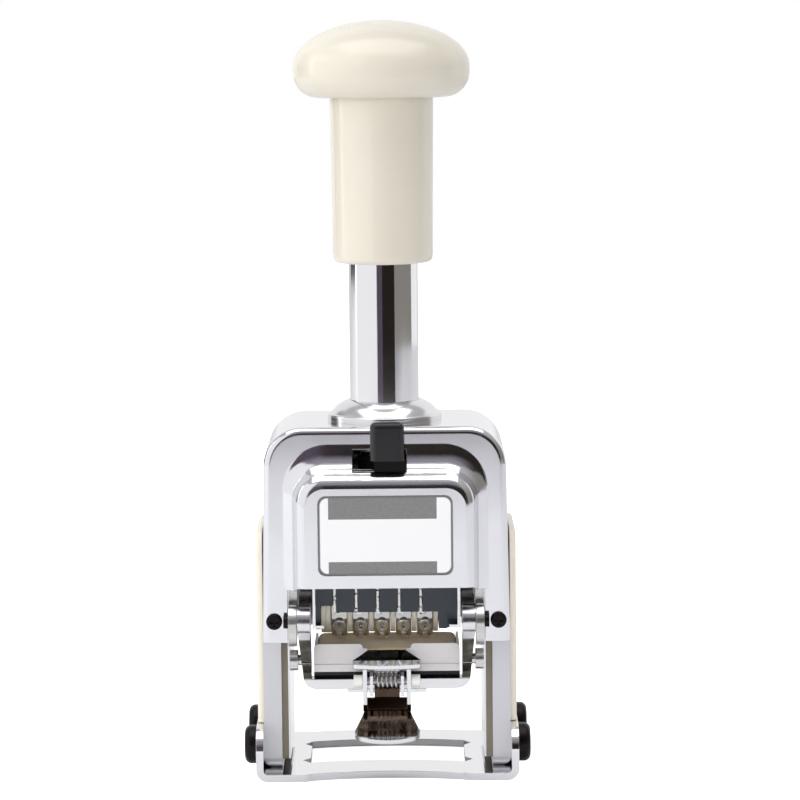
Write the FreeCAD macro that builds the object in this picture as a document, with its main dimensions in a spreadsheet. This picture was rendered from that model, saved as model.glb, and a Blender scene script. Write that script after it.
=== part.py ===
import FreeCAD, Part
import math
import os
import Sketcher

# Numbering machine, in millimetres. +X is the right-hand side, -Y is the front, +Z is up.
# The origin is the middle of the face that the base plate stands on.

DOC = FreeCAD.newDocument("NumberingMachine")
SHEET = DOC.addObject("Spreadsheet::Sheet", "Sizes")
NODES = []


class Size:
    """A length or a number with the formula that it comes from."""

    def __init__(self, value, text):
        self.value = float(value)
        self.text = text

    def _with(self, other, sign, result):
        other = as_size(other)
        return Size(result(self.value, other.value), "(%s %s %s)" % (self.text, sign, other.text))

    def __add__(self, other):
        return self._with(other, "+", lambda a, b: a + b)

    def __sub__(self, other):
        return self._with(other, "-", lambda a, b: a - b)

    def __mul__(self, other):
        return self._with(other, "*", lambda a, b: a * b)

    def __truediv__(self, other):
        return self._with(other, "/", lambda a, b: a / b)

    def __neg__(self):
        return self * -1


def as_size(value):
    return value if isinstance(value, Size) else Size(value, repr(float(value)))


class Row:
    last = 0


def size(alias, value):
    """One driving dimension: a named cell of the sheet."""
    Row.last += 1
    SHEET.set("A%d" % Row.last, alias)
    SHEET.set("B%d" % Row.last, str(value))
    SHEET.setAlias("B%d" % Row.last, alias)
    return Size(value, "Sizes.%s" % alias)


# Fits
overrun = size("cut_overrun", 1)
loose = size("loose_gap", 0.3)
fit = size("running_fit", 0.05)
slide_gap = size("sliding_gap", 0.1)

# Widths, from the legs outwards and inwards
leg_inner = size("leg_inner", 22.9)
leg_thick = size("leg_thickness", 3.9)
base_sheet = size("base_sheet", 1.6)
liner_thick = size("liner_thickness", 1.4)
guide_sheet = size("guide_sheet", 0.4)
base_half = leg_inner + leg_thick + base_sheet
lane_half = leg_inner - liner_thick - guide_sheet

# Base plate and what stands on it
base_deep = size("base_half_depth", 21)
base_bend = size("base_bend_radius", 2.6)
ear_top = size("ear_top", 11.3)
ear_corner = size("ear_corner_radius", 5)
recess_half = leg_inner - size("front_recess_side", 5.6)
recess_step = size("front_recess_step", 0.8)
recess_bow = size("front_recess_bow", 2.2)
rear_bow = size("base_rear_bow", 1.6)
window_half = recess_half - size("window_side", 0.3)
window_front = size("window_front", 9.7)
window_rear = size("window_rear", 10.8)
window_bow = size("window_bow", 2.1)
notch_reach = size("notch_reach", 1.7)
notch_wide = size("notch_width", 4.6)
foot_screw_y = size("foot_screw_half_spacing", 10.5)
foot_screw_z = size("foot_screw_height", 6.1)
foot_head_r = size("foot_head_radius", 4.2)
foot_head = size("foot_head_height", 2.8)
foot_shank_r = size("foot_shank_radius", 2)
foot_crown = size("foot_head_crown_radius", 1.4)

# Legs and guides
leg_deep = size("leg_half_depth", 14.7)
leg_wall = size("leg_wall", 1.3)
leg_shoulder = size("leg_shoulder_height", 29.4)
leg_top = size("leg_top", 67)
leg_round = size("leg_toe_radius", 2.2)
liner_deep = size("liner_half_depth", 13.9)
liner_low = size("liner_bottom", 3.6)
liner_top = size("liner_top", 66)

# Housing
house_foot_half = leg_inner + leg_thick
house_top_half = house_foot_half - size("housing_draft", 0.8)
house_deep = size("housing_half_depth", 16)
house_top = size("housing_top", 76.4)
house_low = size("housing_arm_bottom", 29.6)
house_corner = size("housing_corner_radius", 8.4)
house_edge = size("housing_edge_radius", 1.5)
house_wall = size("housing_wall", 1)
arm_inner = lane_half + size("housing_arm_back", 0.25)
cover_low = size("cover_bottom", 42.3)
house_screw_x = leg_inner + size("housing_screw_inset", 1.35)
house_screw_z = size("housing_screw_height", 34.3)
house_head_r = size("housing_screw_head_radius", 1.75)
house_head = size("housing_screw_head_height", 0.9)
house_shank_r = size("housing_screw_shank_radius", 1)
emboss_half = house_top_half - size("emboss_side", 4.7)
emboss_top = size("emboss_top", 69.2)
emboss_out = size("emboss_height", 5.4)
emboss_corner = size("emboss_corner_radius", 7.6)
emboss_lip = size("emboss_lip", 1.1)
emboss_mouth_half = emboss_half - size("emboss_mouth_side", 1.7)
emboss_mouth_r = size("emboss_mouth_radius", 1.4)
label_half = emboss_half - size("label_side", 6.8)
label_low = size("label_bottom", 45.1)
label_top = size("label_top", 62.4)
label_corner = size("label_corner_radius", 1.8)
label_deep = size("label_recess", 0.5)
label_thick = size("label_thickness", 0.35)
rear_half = arm_inner - size("rear_cover_side", 0.95)
rear_low = size("rear_cover_bottom", 31)
rear_top = size("rear_cover_top", 65)
rear_thick = size("rear_cover_thickness", 1)
rear_corner = size("rear_cover_corner_radius", 3)
rear_screw_x = rear_half - size("rear_screw_inset", 3.4)
rear_screw_z = size("rear_screw_height", 60.5)
side_cover_out = base_half - size("side_cover_back", 0.2)
side_cover_deep = size("side_cover_half_depth", 13)
side_cover_top = size("side_cover_top", 53.6)
side_cover_corner = size("side_cover_corner_radius", 4)
side_cover_edge = size("side_cover_edge_radius", 0.9)

# Guide tube, collar and handle
tube_r = size("tube_radius", 7.55)
tube_wall = size("tube_wall", 1.1)
tube_low = size("tube_bottom", 69)
collar_r = size("collar_radius", 12.5)
collar_rim = size("collar_rim_height", 1.5)
collar_rim_r = size("collar_rim_edge_radius", 0.5)
collar_ledge = size("collar_ledge", 0.7)
collar_cone = size("collar_cone_height", 2.8)
collar_lip = size("collar_lip", 0.4)
collar_bulge = size("collar_bulge", 0.4)
nut_r = size("tube_nut_radius", 11)
nut_tall = size("tube_nut_height", 5)
seat_tall = size("spring_seat_height", 1.6)
grip_top_r = size("grip_top_radius", 11.25)
grip_low_r = size("grip_bottom_radius", 10.85)
grip_lip = size("grip_lip_radius", 1.2)
knob_r = size("knob_radius", 19.2)
knob_edge = size("knob_lower_edge_radius", 5.4)
rod_r = size("rod_radius", 3)

# Heights of the handle, from the top of the knob downwards
stroke = size("stroke_length", 27.5)
knob_top = size("knob_top", 163.2)
knob_belt = knob_top - size("knob_dome_height", 10)
knob_low = knob_belt - size("knob_belt_height", 6.6)
rod_top = knob_belt + size("rod_end_rise", 0.8)
grip_roof = size("grip_roof_thickness", 1.9)
grip_low = knob_low - size("grip_height", 35.8)
tube_top = knob_low - grip_roof - stroke - size("tube_headroom", 0.2)

# Widths of the pad frame and of the wheel plates inside it
boss_out = lane_half - slide_gap
hub_out = boss_out - size("swing_roller_length", 1.8)
frame_out = hub_out - size("pad_hub_proud", 1.2)
frame_in = frame_out - size("pad_frame_thickness", 1.6)
plate_out = frame_in - size("wheel_plate_gap", 0.2)

# Carriage
axle_z = size("axle_height", 34.5)
axle_r = size("axle_radius", 2.5)
yoke_half = lane_half - size("yoke_side_gap", 0.2)
yoke_sheet = size("yoke_sheet", 1.6)
yoke_front = size("yoke_front", 8.4)
yoke_rear = size("yoke_rear", 10)
yoke_low = size("yoke_plate_bottom", 61)
yoke_top = size("yoke_plate_top", 65)
cheek_end_r = size("cheek_end_radius", 4)
bumper_r = size("bumper_radius", 6)
plate_sheet = size("wheel_plate_sheet", 0.7)
plate_front = size("wheel_plate_front", 8.6)
plate_rear = size("wheel_plate_rear", 5.4)
plate_low = size("wheel_plate_bottom", 31.2)
plate_flange = size("wheel_plate_flange", 1.8)
comb_front = size("comb_front", 9.2)
comb_thick = size("comb_thickness", 1.4)
comb_low = size("comb_bottom", 34.9)
comb_top = size("comb_top", 46)
comb_slot_top = comb_low + (comb_top - comb_low) * size("comb_slot_share", 0.55)
comb_slot = size("comb_slot_width", 0.8)
comb_end_low = size("comb_end_bottom", 36.4)
finger_thick = size("finger_thickness", 0.3)
finger_wide = size("finger_width", 0.6)
finger_low = size("finger_bottom", 34.1)
finger_shift = size("finger_shift", 0.9)
finger_hook = size("finger_hook", 0.9)

# Number wheels
wheel_flat = size("wheel_flat_radius", 7)
wheel_count = 5
face_count = 12
first_digit_turn = 120
digit_relief = size("digit_relief", 0.75)
ratchet_r = size("ratchet_radius", 5.6)
ratchet_wide = size("ratchet_width", 1.1)
spacer_r = size("spacer_radius", 5.7)
spacer_wide = size("spacer_width", 1.05)
end_plate_thick = size("end_plate_thickness", 1)
right_plate_thick = size("right_plate_thickness", 1.9)
end_block_wide = size("end_block_width", 2.2)
wheels_left = -plate_out + plate_sheet + end_plate_thick + spacer_wide * 2 + fit + slide_gap * 2
wheels_right = plate_out - plate_sheet - end_block_wide - right_plate_thick - fit
wheel_pitch = (wheels_right - wheels_left) / wheel_count
wheel_wide = wheel_pitch - ratchet_wide - fit * 2
end_plate_half = size("end_plate_half_depth", 6.4)
end_plate_low = size("end_plate_bottom", 30.6)
end_plate_top = size("end_plate_top", 44)

# Feed rocker
rocker_in = plate_out + loose
rocker_out = yoke_half - yoke_sheet - size("rocker_side_gap", 0.2)
rocker_sheet = size("rocker_sheet", 1.3)
rocker_hub_r = size("rocker_hub_radius", 4)
rocker_bar_in = size("rocker_bar_inner", 9.2)
rocker_bar_out = size("rocker_bar_outer", 10.8)
rocker_half_tall = size("rocker_bar_half_height", 1.9)
pawl_tip = size("pawl_tip_radius", 6.2)
pawl_tall = size("pawl_height", 1.1)

# Ink pad frame
pivot_y = size("pad_pivot_front", 17.5)
pivot_z = size("pad_pivot_height", 34.5)
hub_r = size("pad_hub_radius", 3.6)
pivot_pin_r = size("pad_pivot_pin_radius", 1.2)
pivot_head_r = size("pad_pivot_head_radius", 1.45)
pivot_head = size("pad_pivot_head_height", 1.1)
frame_low = size("pad_frame_bottom", 18.7)
frame_bar = size("pad_frame_bar_height", 2.2)
frame_front = size("pad_frame_bar_front", 13.2)
frame_rear = size("pad_frame_bar_rear", 9)
frame_corner = size("pad_frame_corner_radius", 3)
tray_half = frame_in - size("tray_side_gap", 0.5)
tray_sheet = size("tray_sheet", 0.6)
tray_low = size("tray_bottom", 21.6)
tray_front = size("tray_front", 11.9)
tray_rear = size("tray_rear", 8.6)
tray_top = size("tray_front_top", 28.4)
tray_side_top = size("tray_side_top", 27)
tray_notch_half = size("tray_notch_half_width", 5.2)
tray_notch_low = size("tray_notch_bottom", 25.2)
tray_step = size("tray_notch_step", 0.9)
tray_step_top = size("tray_notch_step_top", 27.4)
tray_lip_top = size("tray_lip_top", 23.9)
tray_corner = size("tray_corner_radius", 1.2)
felt_top = size("felt_top", 27.2)
felt_edge = size("felt_edge_radius", 0.8)
bracket_low = size("pivot_bracket_bottom", 31)
bracket_drop = size("pivot_bracket_lug_drop", 1.9)
bracket_top = size("pivot_bracket_top", 46)
bracket_rear = size("pivot_bracket_rear", 9.3)
boss_r = size("swing_boss_radius", 2.3)
boss_y = size("swing_boss_front", 14)
boss_z = size("swing_boss_height", 25.4)

# Pad clip
clip_pin_y = size("clip_pin_front", 16)
clip_pin_z = size("clip_pin_height", 21)
clip_pin_r = size("clip_pin_radius", 0.85)
clip_pin_half = size("clip_pin_half_length", 7.2)
clip_bush_r = size("clip_bush_radius", 1.4)
clip_sheet = size("clip_sheet", 0.9)
clip_cheek_in = size("clip_cheek_inner", 4.3)
clip_cheek_out = size("clip_cheek_outer", 5.2)
clip_cheek_front = size("clip_cheek_front", 17.6)
clip_cheek_rear = size("clip_cheek_rear", 13.9)
clip_web_top = size("clip_web_top", 17.2)
clip_web_rear = size("clip_web_rear", 14.75)
clip_back_half = size("clip_back_half_width", 2.75)
clip_back_r = size("clip_back_radius", 2.2)
clip_back_sheet = size("clip_back_sheet", 0.3)
clip_tab_z = size("clip_tab_height", 24.7)
clip_tab_drop = size("clip_tab_drop", 0.5)
clip_tab_half = size("clip_tab_half_width", 7.4)
clip_tab_front = size("clip_tab_front", 18.7)
clip_tab_rear = size("clip_tab_rear", 12.5)
clip_tab_bow = size("clip_tab_bow", 0.8)
clip_tab_nose = size("clip_tab_nose", 2.4)
clip_tab_lip_r = size("clip_tab_lip_radius", 0.7)
clip_tab_bend = size("clip_tab_bend_front", 16.4)
clip_hook_half = size("clip_hook_half_width", 4)
clip_hook_top = size("clip_hook_top", 27.2)
clip_knee_y = size("clip_knee_front", 15)
clip_knee_z = size("clip_knee_height", 15.2)
clip_blade_half = size("clip_blade_half_width", 4.6)
clip_blade_sag = size("clip_blade_sag", 0.5)
clip_lip_half = size("clip_lip_half_width", 7.6)
clip_lip_front = base_deep + rear_bow
clip_lip_bow = size("clip_lip_bow", 1.7)
clip_lip_low = size("clip_lip_bottom", 8.5)
clip_lip_round = size("clip_lip_corner_radius", 1.6)
holder_in = size("clip_holder_inner", 3)
holder_sheet = size("clip_holder_sheet", 0.7)
holder_front = size("clip_holder_front", 17.4)
holder_low = size("clip_holder_bottom", 17.9)
holder_top = size("clip_holder_top", 22.4)
holder_half = size("clip_holder_half_width", 8.6)
torsion_r = size("clip_spring_coil_radius", 1.7)
torsion_wire = size("clip_spring_wire_radius", 0.25)
torsion_pitch = size("clip_spring_pitch", 0.95)
torsion_turns = 5
torsion_leg = size("clip_spring_leg", 0.6)

# Return spring
spring_r = size("return_spring_coil_radius", 4.75)
spring_wire = size("return_spring_wire_radius", 0.65)
spring_turns = 13

# Mode lever
slot_left = size("mode_slot_left", 7)
slot_right = size("mode_slot_right", 4.7)
slot_low = size("mode_front_slot_bottom", 67.4)
slot_high = size("mode_front_slot_top", 71.7)
slot_roof_front = size("mode_roof_slot_front", 19)
slot_roof_rear = size("mode_roof_slot_rear", 16.6)
lever_left = size("mode_lever_left", 2.3)
lever_right = size("mode_lever_right", 4.5)
lever_thick = size("mode_lever_thickness", 1.6)
lever_front = size("mode_lever_front", 18.6)
lever_low = size("mode_lever_bottom", 60.5)
cap_left = size("mode_cap_left", 3.1)
cap_right = size("mode_cap_right", 4.2)
cap_front = size("mode_cap_front", 21)
cap_rear = size("mode_cap_rear", 16.7)
cap_low = size("mode_cap_bottom", 69.7)
cap_top = size("mode_cap_top", 78)
cap_round = size("mode_cap_radius", 1.3)
quadrant_low = size("quadrant_bottom", 58)
quadrant_half = leg_inner - size("quadrant_side_gap", 0.4)
quadrant_top = size("quadrant_top", 66)
quadrant_sheet = size("quadrant_sheet", 1)


def bind(thing, prop, value):
    thing.setExpression(prop, as_size(value).text)


def place(thing, x, y, z):
    for axis, value in zip("xyz", (x, y, z)):
        bind(thing, "Placement.Base." + axis, value)


def node(name, thing):
    """Marks a finished sub-part, whose label names its file."""
    thing.Label = name
    NODES.append(thing)
    return thing


def box(name, x, y, z):
    thing = DOC.addObject("Part::Box", name)
    for prop, (low, high) in zip(("Length", "Width", "Height"), (x, y, z)):
        bind(thing, prop, as_size(high) - low)
    place(thing, x[0], y[0], z[0])
    return thing


TURNS = {
    "x": FreeCAD.Rotation(FreeCAD.Vector(0, 1, 0), 90),
    "y": FreeCAD.Rotation(FreeCAD.Vector(1, 0, 0), -90),
    "z": FreeCAD.Rotation(),
}


def round_piece(kind, name, axis, centre, low):
    """A round primitive that lies along an axis, from its centre in the other two."""
    thing = DOC.addObject(kind, name)
    thing.Placement = FreeCAD.Placement(FreeCAD.Vector(), TURNS[axis])
    a, b = centre
    place(thing, *{"x": (low, a, b), "y": (a, low, b), "z": (a, b, low)}[axis])
    return thing


def rod(name, axis, centre, radius, span):
    thing = round_piece("Part::Cylinder", name, axis, centre, span[0])
    bind(thing, "Radius", radius)
    bind(thing, "Height", as_size(span[1]) - span[0])
    return thing


def cone(name, axis, centre, radii, span):
    thing = round_piece("Part::Cone", name, axis, centre, span[0])
    bind(thing, "Radius1", radii[0])
    bind(thing, "Radius2", radii[1])
    bind(thing, "Height", as_size(span[1]) - span[0])
    return thing


def fuse(name, *parts):
    thing = DOC.addObject("Part::MultiFuse", name)
    thing.Shapes = list(parts)
    thing.Refine = True
    return thing


def group(name, *parts):
    """Separate solids of one kind that share a node."""
    thing = DOC.addObject("Part::Compound", name)
    thing.Links = list(parts)
    return thing


def cut(name, base, *tools):
    thing = DOC.addObject("Part::Cut", name)
    thing.Base = base
    thing.Tool = tools[0] if len(tools) == 1 else fuse(name + "_tools", *tools)
    thing.Refine = True
    return thing


def common(name, first, second):
    thing = DOC.addObject("Part::Common", name)
    thing.Base = first
    thing.Tool = second
    thing.Refine = True
    return thing


def past(span):
    """A span that runs past both its ends, for a cut right through."""
    return as_size(span[0]) - overrun, as_size(span[1]) + overrun


def tube(name, axis, centre, outer, inner, span):
    body = rod(name + "_outside", axis, centre, outer, span)
    return cut(name, body, rod(name + "_bore", axis, centre, inner, past(span)))


def mirror(name, thing):
    """The same piece on the other side of the middle plane."""
    other = DOC.addObject("Part::Mirroring", name)
    other.Source = thing
    other.Normal = FreeCAD.Vector(1, 0, 0)
    return other


def pair(name, thing):
    """The left-hand piece and its mirror image, each in a node."""
    node(name + "_left", thing)
    node(name + "_right", mirror(name + "_right", thing))


def side_span(inner, outer):
    """A span on the left-hand side, from distances to the middle plane."""
    return -as_size(outer), -as_size(inner)


def straight_along(edge, axis):
    if not isinstance(edge.Curve, (Part.Line, Part.LineSegment)):
        return False
    way = edge.Vertexes[-1].Point - edge.Vertexes[0].Point
    return abs(getattr(way.normalize(), axis)) > 1 - 1e-6


def near(a, b):
    return abs(a - as_size(b).value) < 1e-4


def rounded(name, base, radius, pick):
    """The base with the picked edges rounded."""
    DOC.recompute()
    thing = DOC.addObject("Part::Fillet", name)
    thing.Base = base
    picked = [n for n, e in enumerate(base.Shape.Edges, 1) if pick(e)]
    if not picked:
        raise ValueError("no edge to round on " + name)
    thing.Edges = [(n, radius.value, radius.value) for n in picked]
    DOC.recompute()
    return thing


# An end arc stays a little flatter than a half circle.
round_end_share = 0.96

PLANE_ROLE = {"front": "XZ_Plane", "top": "XY_Plane", "side": "YZ_Plane"}


def arc_over(a, b, bulge):
    """The arc from a to b whose middle lies a bulge to the left of the chord."""
    chord = b - a
    left = FreeCAD.Vector(-chord.y, chord.x, 0).normalize()
    return Part.Arc(a, (a + b) * 0.5 + left * bulge, b)


def hold_corners(sketch, corners, bulges):
    """Holds every corner and arc of a sketched outline to the sheet."""
    count = len(corners)
    spots = [FreeCAD.Vector(a.value, b.value, 0) for a, b in corners]
    ends = []
    for i in range(count):
        starts_here = (sketch.getPoint(i, 1) - spots[i]).Length < 1e-6
        ends.append((1, 2) if starts_here else (2, 1))
    for i in range(count):
        after = (i + 1) % count
        sketch.addConstraint(Sketcher.Constraint("Coincident", i, ends[i][1], after, ends[after][0]))
    for i, (a, b) in enumerate(corners):
        for way, value in (("DistanceX", a), ("DistanceY", b)):
            held = sketch.addConstraint(Sketcher.Constraint(way, i, ends[i][0], value.value))
            sketch.setExpression("Constraints[%d]" % held, value.text)
    for i, bulge in bulges.items():
        (a, b), (c, d) = corners[i], corners[(i + 1) % count]
        chord = (c - a) * (c - a) + (d - b) * (d - b)
        rise = bulge if bulge.value > 0 else -bulge
        radius = (chord / 4 + rise * rise) / (rise * 2)
        held = sketch.addConstraint(Sketcher.Constraint("Radius", i, radius.value))
        sketch.setExpression("Constraints[%d]" % held, radius.text)


def prism(name, view, span, points, bulges=None):
    """A padded sketch. The view gives the sketch's plane and the span its depth.

    bulges gives, for an edge by its number, how far an arc rises to the left of it.
    """
    bulges = bulges or {}
    body = DOC.addObject("PartDesign::Body", name)
    DOC.recompute()
    sketch = body.newObject("Sketcher::SketchObject", name + "_sketch")
    plane = next(f for f in body.Origin.OriginFeatures if f.Role == PLANE_ROLE[view])
    sketch.AttachmentSupport = [(plane, "")]
    sketch.MapMode = "FlatFace"
    low, high = as_size(span[0]), as_size(span[1])
    bind(sketch, "AttachmentOffset.Base.z", -high if view == "front" else low)
    corners = [(as_size(a), as_size(b)) for a, b in points]
    spots = [FreeCAD.Vector(a.value, b.value, 0) for a, b in corners]
    for i, a in enumerate(spots):
        b = spots[(i + 1) % len(spots)]
        sketch.addGeometry(arc_over(a, b, bulges[i].value) if i in bulges else Part.LineSegment(a, b))
    hold_corners(sketch, corners, bulges)
    pad = body.newObject("PartDesign::Pad", name + "_pad")
    pad.Profile = sketch
    bind(pad, "Length", high - low)
    body.Tip = pad
    return body


def rectangle(x, y):
    return [(x[0], y[0]), (x[1], y[0]), (x[1], y[1]), (x[0], y[1])]


def solid_feature(name, shape):
    thing = DOC.addObject("Part::Feature", name)
    thing.Shape = shape
    return thing


def biarc(start, start_way, end, end_way):
    """Two arcs that leave start and reach end along the given directions."""
    chord = end - start
    both = start_way + end_way
    spread = 2 * (1 - start_way.dot(end_way))
    reach = (-chord.dot(both) + math.sqrt(chord.dot(both) ** 2 + 2 * spread * chord.dot(chord) / 2)) / spread
    knees = start + start_way * reach, end - end_way * reach
    meet = (knees[0] + knees[1]) * 0.5
    arcs = []
    for a, knee, b in ((start, knees[0], meet), (meet, knees[1], end)):
        half = (b - a).Length / 2
        tilt = math.acos(min(1, half / (knee - a).Length))
        middle = (a + b) * 0.5
        arcs.append(Part.Arc(a, middle + (knee - middle).normalize() * half * math.tan(tilt / 2), b))
    return [arc.toShape() for arc in arcs]


def coil_tube(spot, turns, wire, lead_in, lead_out):
    """One unbroken tube round a coil. spot gives a point and its direction at any turn."""
    edges = []
    first, first_way = spot(0)
    if lead_in:
        edges.append(Part.makeLine(first - first_way * lead_in, first))
    quarters = int(turns * 4)
    for n in range(quarters):
        a, a_way = spot(n / 4)
        b, b_way = spot((n + 1) / 4)
        edges += biarc(a, a_way, b, b_way)
    last, last_way = spot(quarters / 4)
    if lead_out:
        edges.append(Part.makeLine(last, last + last_way * lead_out))
    path = Part.Wire(edges)
    start = first - first_way * lead_in
    profile = Part.Wire(Part.makeCircle(wire, start, first_way))
    return path.makePipeShell([profile], True, False)


def coil_spot(axis, centre, radius, pitch):
    """A helix round an axis: the point and the direction after so many turns."""
    across = {"x": (1, 2), "z": (0, 1)}[axis]
    rise = {"x": 0, "z": 2}[axis]

    def spot(turn):
        angle = 2 * math.pi * turn
        point = list(centre)
        way = [0.0, 0.0, 0.0]
        point[across[0]] += radius * math.cos(angle)
        point[across[1]] += radius * math.sin(angle)
        point[rise] += pitch * turn
        way[across[0]] = -2 * math.pi * radius * math.sin(angle)
        way[across[1]] = 2 * math.pi * radius * math.cos(angle)
        way[rise] = pitch
        return FreeCAD.Vector(*point), FreeCAD.Vector(*way).normalize()

    return spot


def least_gap(spot, turns, wire):
    """The least gap between a coil's own neighbouring turns, measured on points."""
    points = [spot(n / 24)[0] for n in range(int(turns * 24) + 1)]
    gaps = [(a - b).Length for i, a in enumerate(points) for b in points[i + 18:i + 31]]
    return min(gaps) - 2 * wire


def make_base_plate():
    half_out = base_half
    half_in = base_half - base_sheet
    profile = [(-half_out, 0), (half_out, 0), (half_out, ear_top), (half_in, ear_top),
               (half_in, base_sheet), (-half_in, base_sheet), (-half_in, ear_top), (-half_out, ear_top)]
    channel = prism("base_channel", "front", (-base_deep, base_deep), profile)

    def bend(edge):
        return straight_along(edge, "y") and near(edge.BoundBox.ZMax, 0)

    def inner_bend(edge):
        return straight_along(edge, "y") and near(edge.BoundBox.ZMax, base_sheet)

    bent = rounded("base_bends", channel, base_bend, bend)
    bent = rounded("base_inner_bends", bent, base_bend - base_sheet, inner_bend)
    side = prism("base_side", "side", (-base_half - overrun, base_half + overrun),
                 rectangle((-base_deep, base_deep), (ZERO, ear_top)))

    def ear_end(edge):
        return straight_along(edge, "x") and near(edge.BoundBox.ZMin, ear_top)

    trimmed = common("base_trimmed", bent, rounded("base_side_round", side, ear_corner, ear_end))
    bow = prism("base_rear_strip", "top", (ZERO, base_sheet),
                     [(-recess_half, base_deep - overrun), (recess_half, base_deep - overrun),
                      (recess_half, base_deep), (-recess_half, base_deep)], {2: -rear_bow})
    trimmed = fuse("base_with_bow", trimmed, bow)
    step = recess_half - recess_step
    front_y = -base_deep
    recess = prism("base_recess", "top", (-overrun, base_sheet + overrun),
                   [(-recess_half, front_y - overrun), (recess_half, front_y - overrun),
                    (recess_half, front_y), (step, front_y + recess_step),
                    (-step, front_y + recess_step), (-recess_half, front_y)],
                   {3: -recess_bow})
    front, rear = -window_front, window_rear
    window = prism("base_window", "top", (-overrun, base_sheet + overrun),
                   [(-window_half, front), (window_half, front), (window_half, rear), (-window_half, rear)],
                   {0: window_bow, 2: -window_bow})
    notches = []
    for side_name, way in (("left", -1), ("right", 1)):
        inside = window_half * way - overrun * way
        edge_x = window_half * way
        tip = edge_x + notch_reach * way
        for end_name, start, turn in (("front", front, 1), ("rear", rear, -1)):
            near_y = start + notch_wide * turn
            tip_y = start + notch_wide * turn / 2
            points = [(inside, start), (edge_x, start), (tip, tip_y), (edge_x, near_y), (inside, near_y)]
            if way * turn < 0:
                points.reverse()
            notches.append(prism("base_notch_%s_%s" % (side_name, end_name), "top",
                                 (-overrun, base_sheet + overrun), points))
    holes = [rod("base_screw_hole_%s" % end_name, "x", (foot_screw_y * turn, foot_screw_z),
                 foot_shank_r + fit, (-base_half - overrun, base_half + overrun))
             for end_name, turn in (("front", -1), ("rear", 1))]
    node("base_plate", cut("base_plate", trimmed, recess, window, *notches, *holes))


# Of a cross-head screw's head: how far the recess reaches, half its line and its depth.
recess_arm_share = 0.62
recess_line_share = 0.17
recess_depth_share = 0.7


def pan_head_screw(name, x_way, y, z):
    """A cross-head screw along X, with its domed head outside the ear."""
    under = base_half * x_way
    top = (base_half + foot_head) * x_way
    inner = (base_half - base_sheet - leg_wall - overrun) * x_way
    low, high = (under, top) if x_way > 0 else (top, under)
    head = rod(name + "_head", "x", (y, z), foot_head_r, (low, high))

    def crown(edge):
        return near(edge.BoundBox.XMax, top) and near(edge.BoundBox.XMin, top)

    head = rounded(name + "_crown", head, foot_crown, crown)
    low, high = (inner, under) if x_way > 0 else (under, inner)
    shank = rod(name + "_shank", "x", (y, z), foot_shank_r, (low, high))
    arm, thin = foot_head_r * recess_arm_share, foot_head_r * recess_line_share
    ends = (top - foot_head * recess_depth_share * x_way, top)
    ends = ends if x_way > 0 else ends[::-1]
    along = box(name + "_recess_a", ends, (y - arm, y + arm), (z - thin, z + thin))
    upright = box(name + "_recess_b", ends, (y - thin, y + thin), (z - arm, z + arm))
    return cut(name, fuse(name + "_solid", head, shank), along, upright)


def make_foot_screws():
    screws = [pan_head_screw("foot_screw_%s_%s" % (side_name, end_name), way, foot_screw_y * turn,
                             foot_screw_z)
              for side_name, way in (("left", -1), ("right", 1))
              for end_name, turn in (("front", -1), ("rear", 1))]
    node("foot_screws", group("foot_screws", *screws))


def make_legs():
    outer = leg_inner + leg_thick
    tongue_out = house_foot_half - house_wall - slide_gap
    low = base_sheet
    block = box("leg_block", side_span(leg_inner, outer), (-leg_deep, leg_deep), (low, leg_shoulder))
    tongue_deep = house_deep - house_wall - slide_gap
    tongue_top_out = house_top_half - house_wall - slide_gap * 2
    tongue = prism("leg_tongue", "front", (-tongue_deep, tongue_deep),
                   [(-leg_inner, leg_shoulder), (-leg_inner, leg_top),
                    (-tongue_top_out + slide_gap, leg_top), (-tongue_out, leg_shoulder)])

    def toe(edge):
        outside = straight_along(edge, "y") and near(edge.BoundBox.XMax, -outer)
        return near(edge.BoundBox.ZMax, low) and (straight_along(edge, "x") or outside)

    block = rounded("leg_toes", block, leg_round, toe)
    hollow = box("leg_hollow", side_span(leg_inner - overrun, outer - leg_wall),
                 (-leg_deep + leg_wall, leg_deep - leg_wall), (low + leg_wall, leg_top + overrun))
    screws = [rod("leg_foot_hole_%s" % end_name, "x", (foot_screw_y * turn, foot_screw_z),
                  foot_shank_r + fit, (-outer - overrun, -leg_inner))
              for end_name, turn in (("front", -1), ("rear", 1))]
    front = rod("leg_front_hole", "y", (-house_screw_x, house_screw_z), house_shank_r + fit,
                (-house_deep, -leg_deep + leg_wall + overrun))
    leg = cut("leg_left", fuse("leg_whole", block, tongue), hollow, front, *screws)
    pair("leg", leg)


def make_guides():
    low = liner_low
    inner = leg_inner - liner_thick
    liner = box("guide_liner_left", side_span(inner, leg_inner), (-liner_deep, liner_deep), (low, liner_top))
    pair("guide_liner", liner)
    plate = box("guide_plate_left", side_span(inner - guide_sheet, inner), (-liner_deep, liner_deep),
                (low, liner_top))
    pair("guide_plate", plate)


def housing_block(name, inset):
    """The housing's outside, or its hollow with an inset all round."""
    foot, top_half = house_foot_half - inset, house_top_half - inset
    deep = house_deep - inset
    low = house_low - (overrun if inset.value else ZERO)
    high = house_top - inset
    block = prism(name + "_block", "front", (-deep, deep),
                  [(-foot, low), (foot, low), (top_half, high), (-top_half, high)])

    def shoulder(edge):
        return straight_along(edge, "y") and near(edge.BoundBox.ZMax, high)

    return rounded(name + "_shoulders", block, house_corner - inset, shoulder)


def arc_through(start, middle, end):
    return Part.Arc(start, middle, end).toShape()


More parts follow.
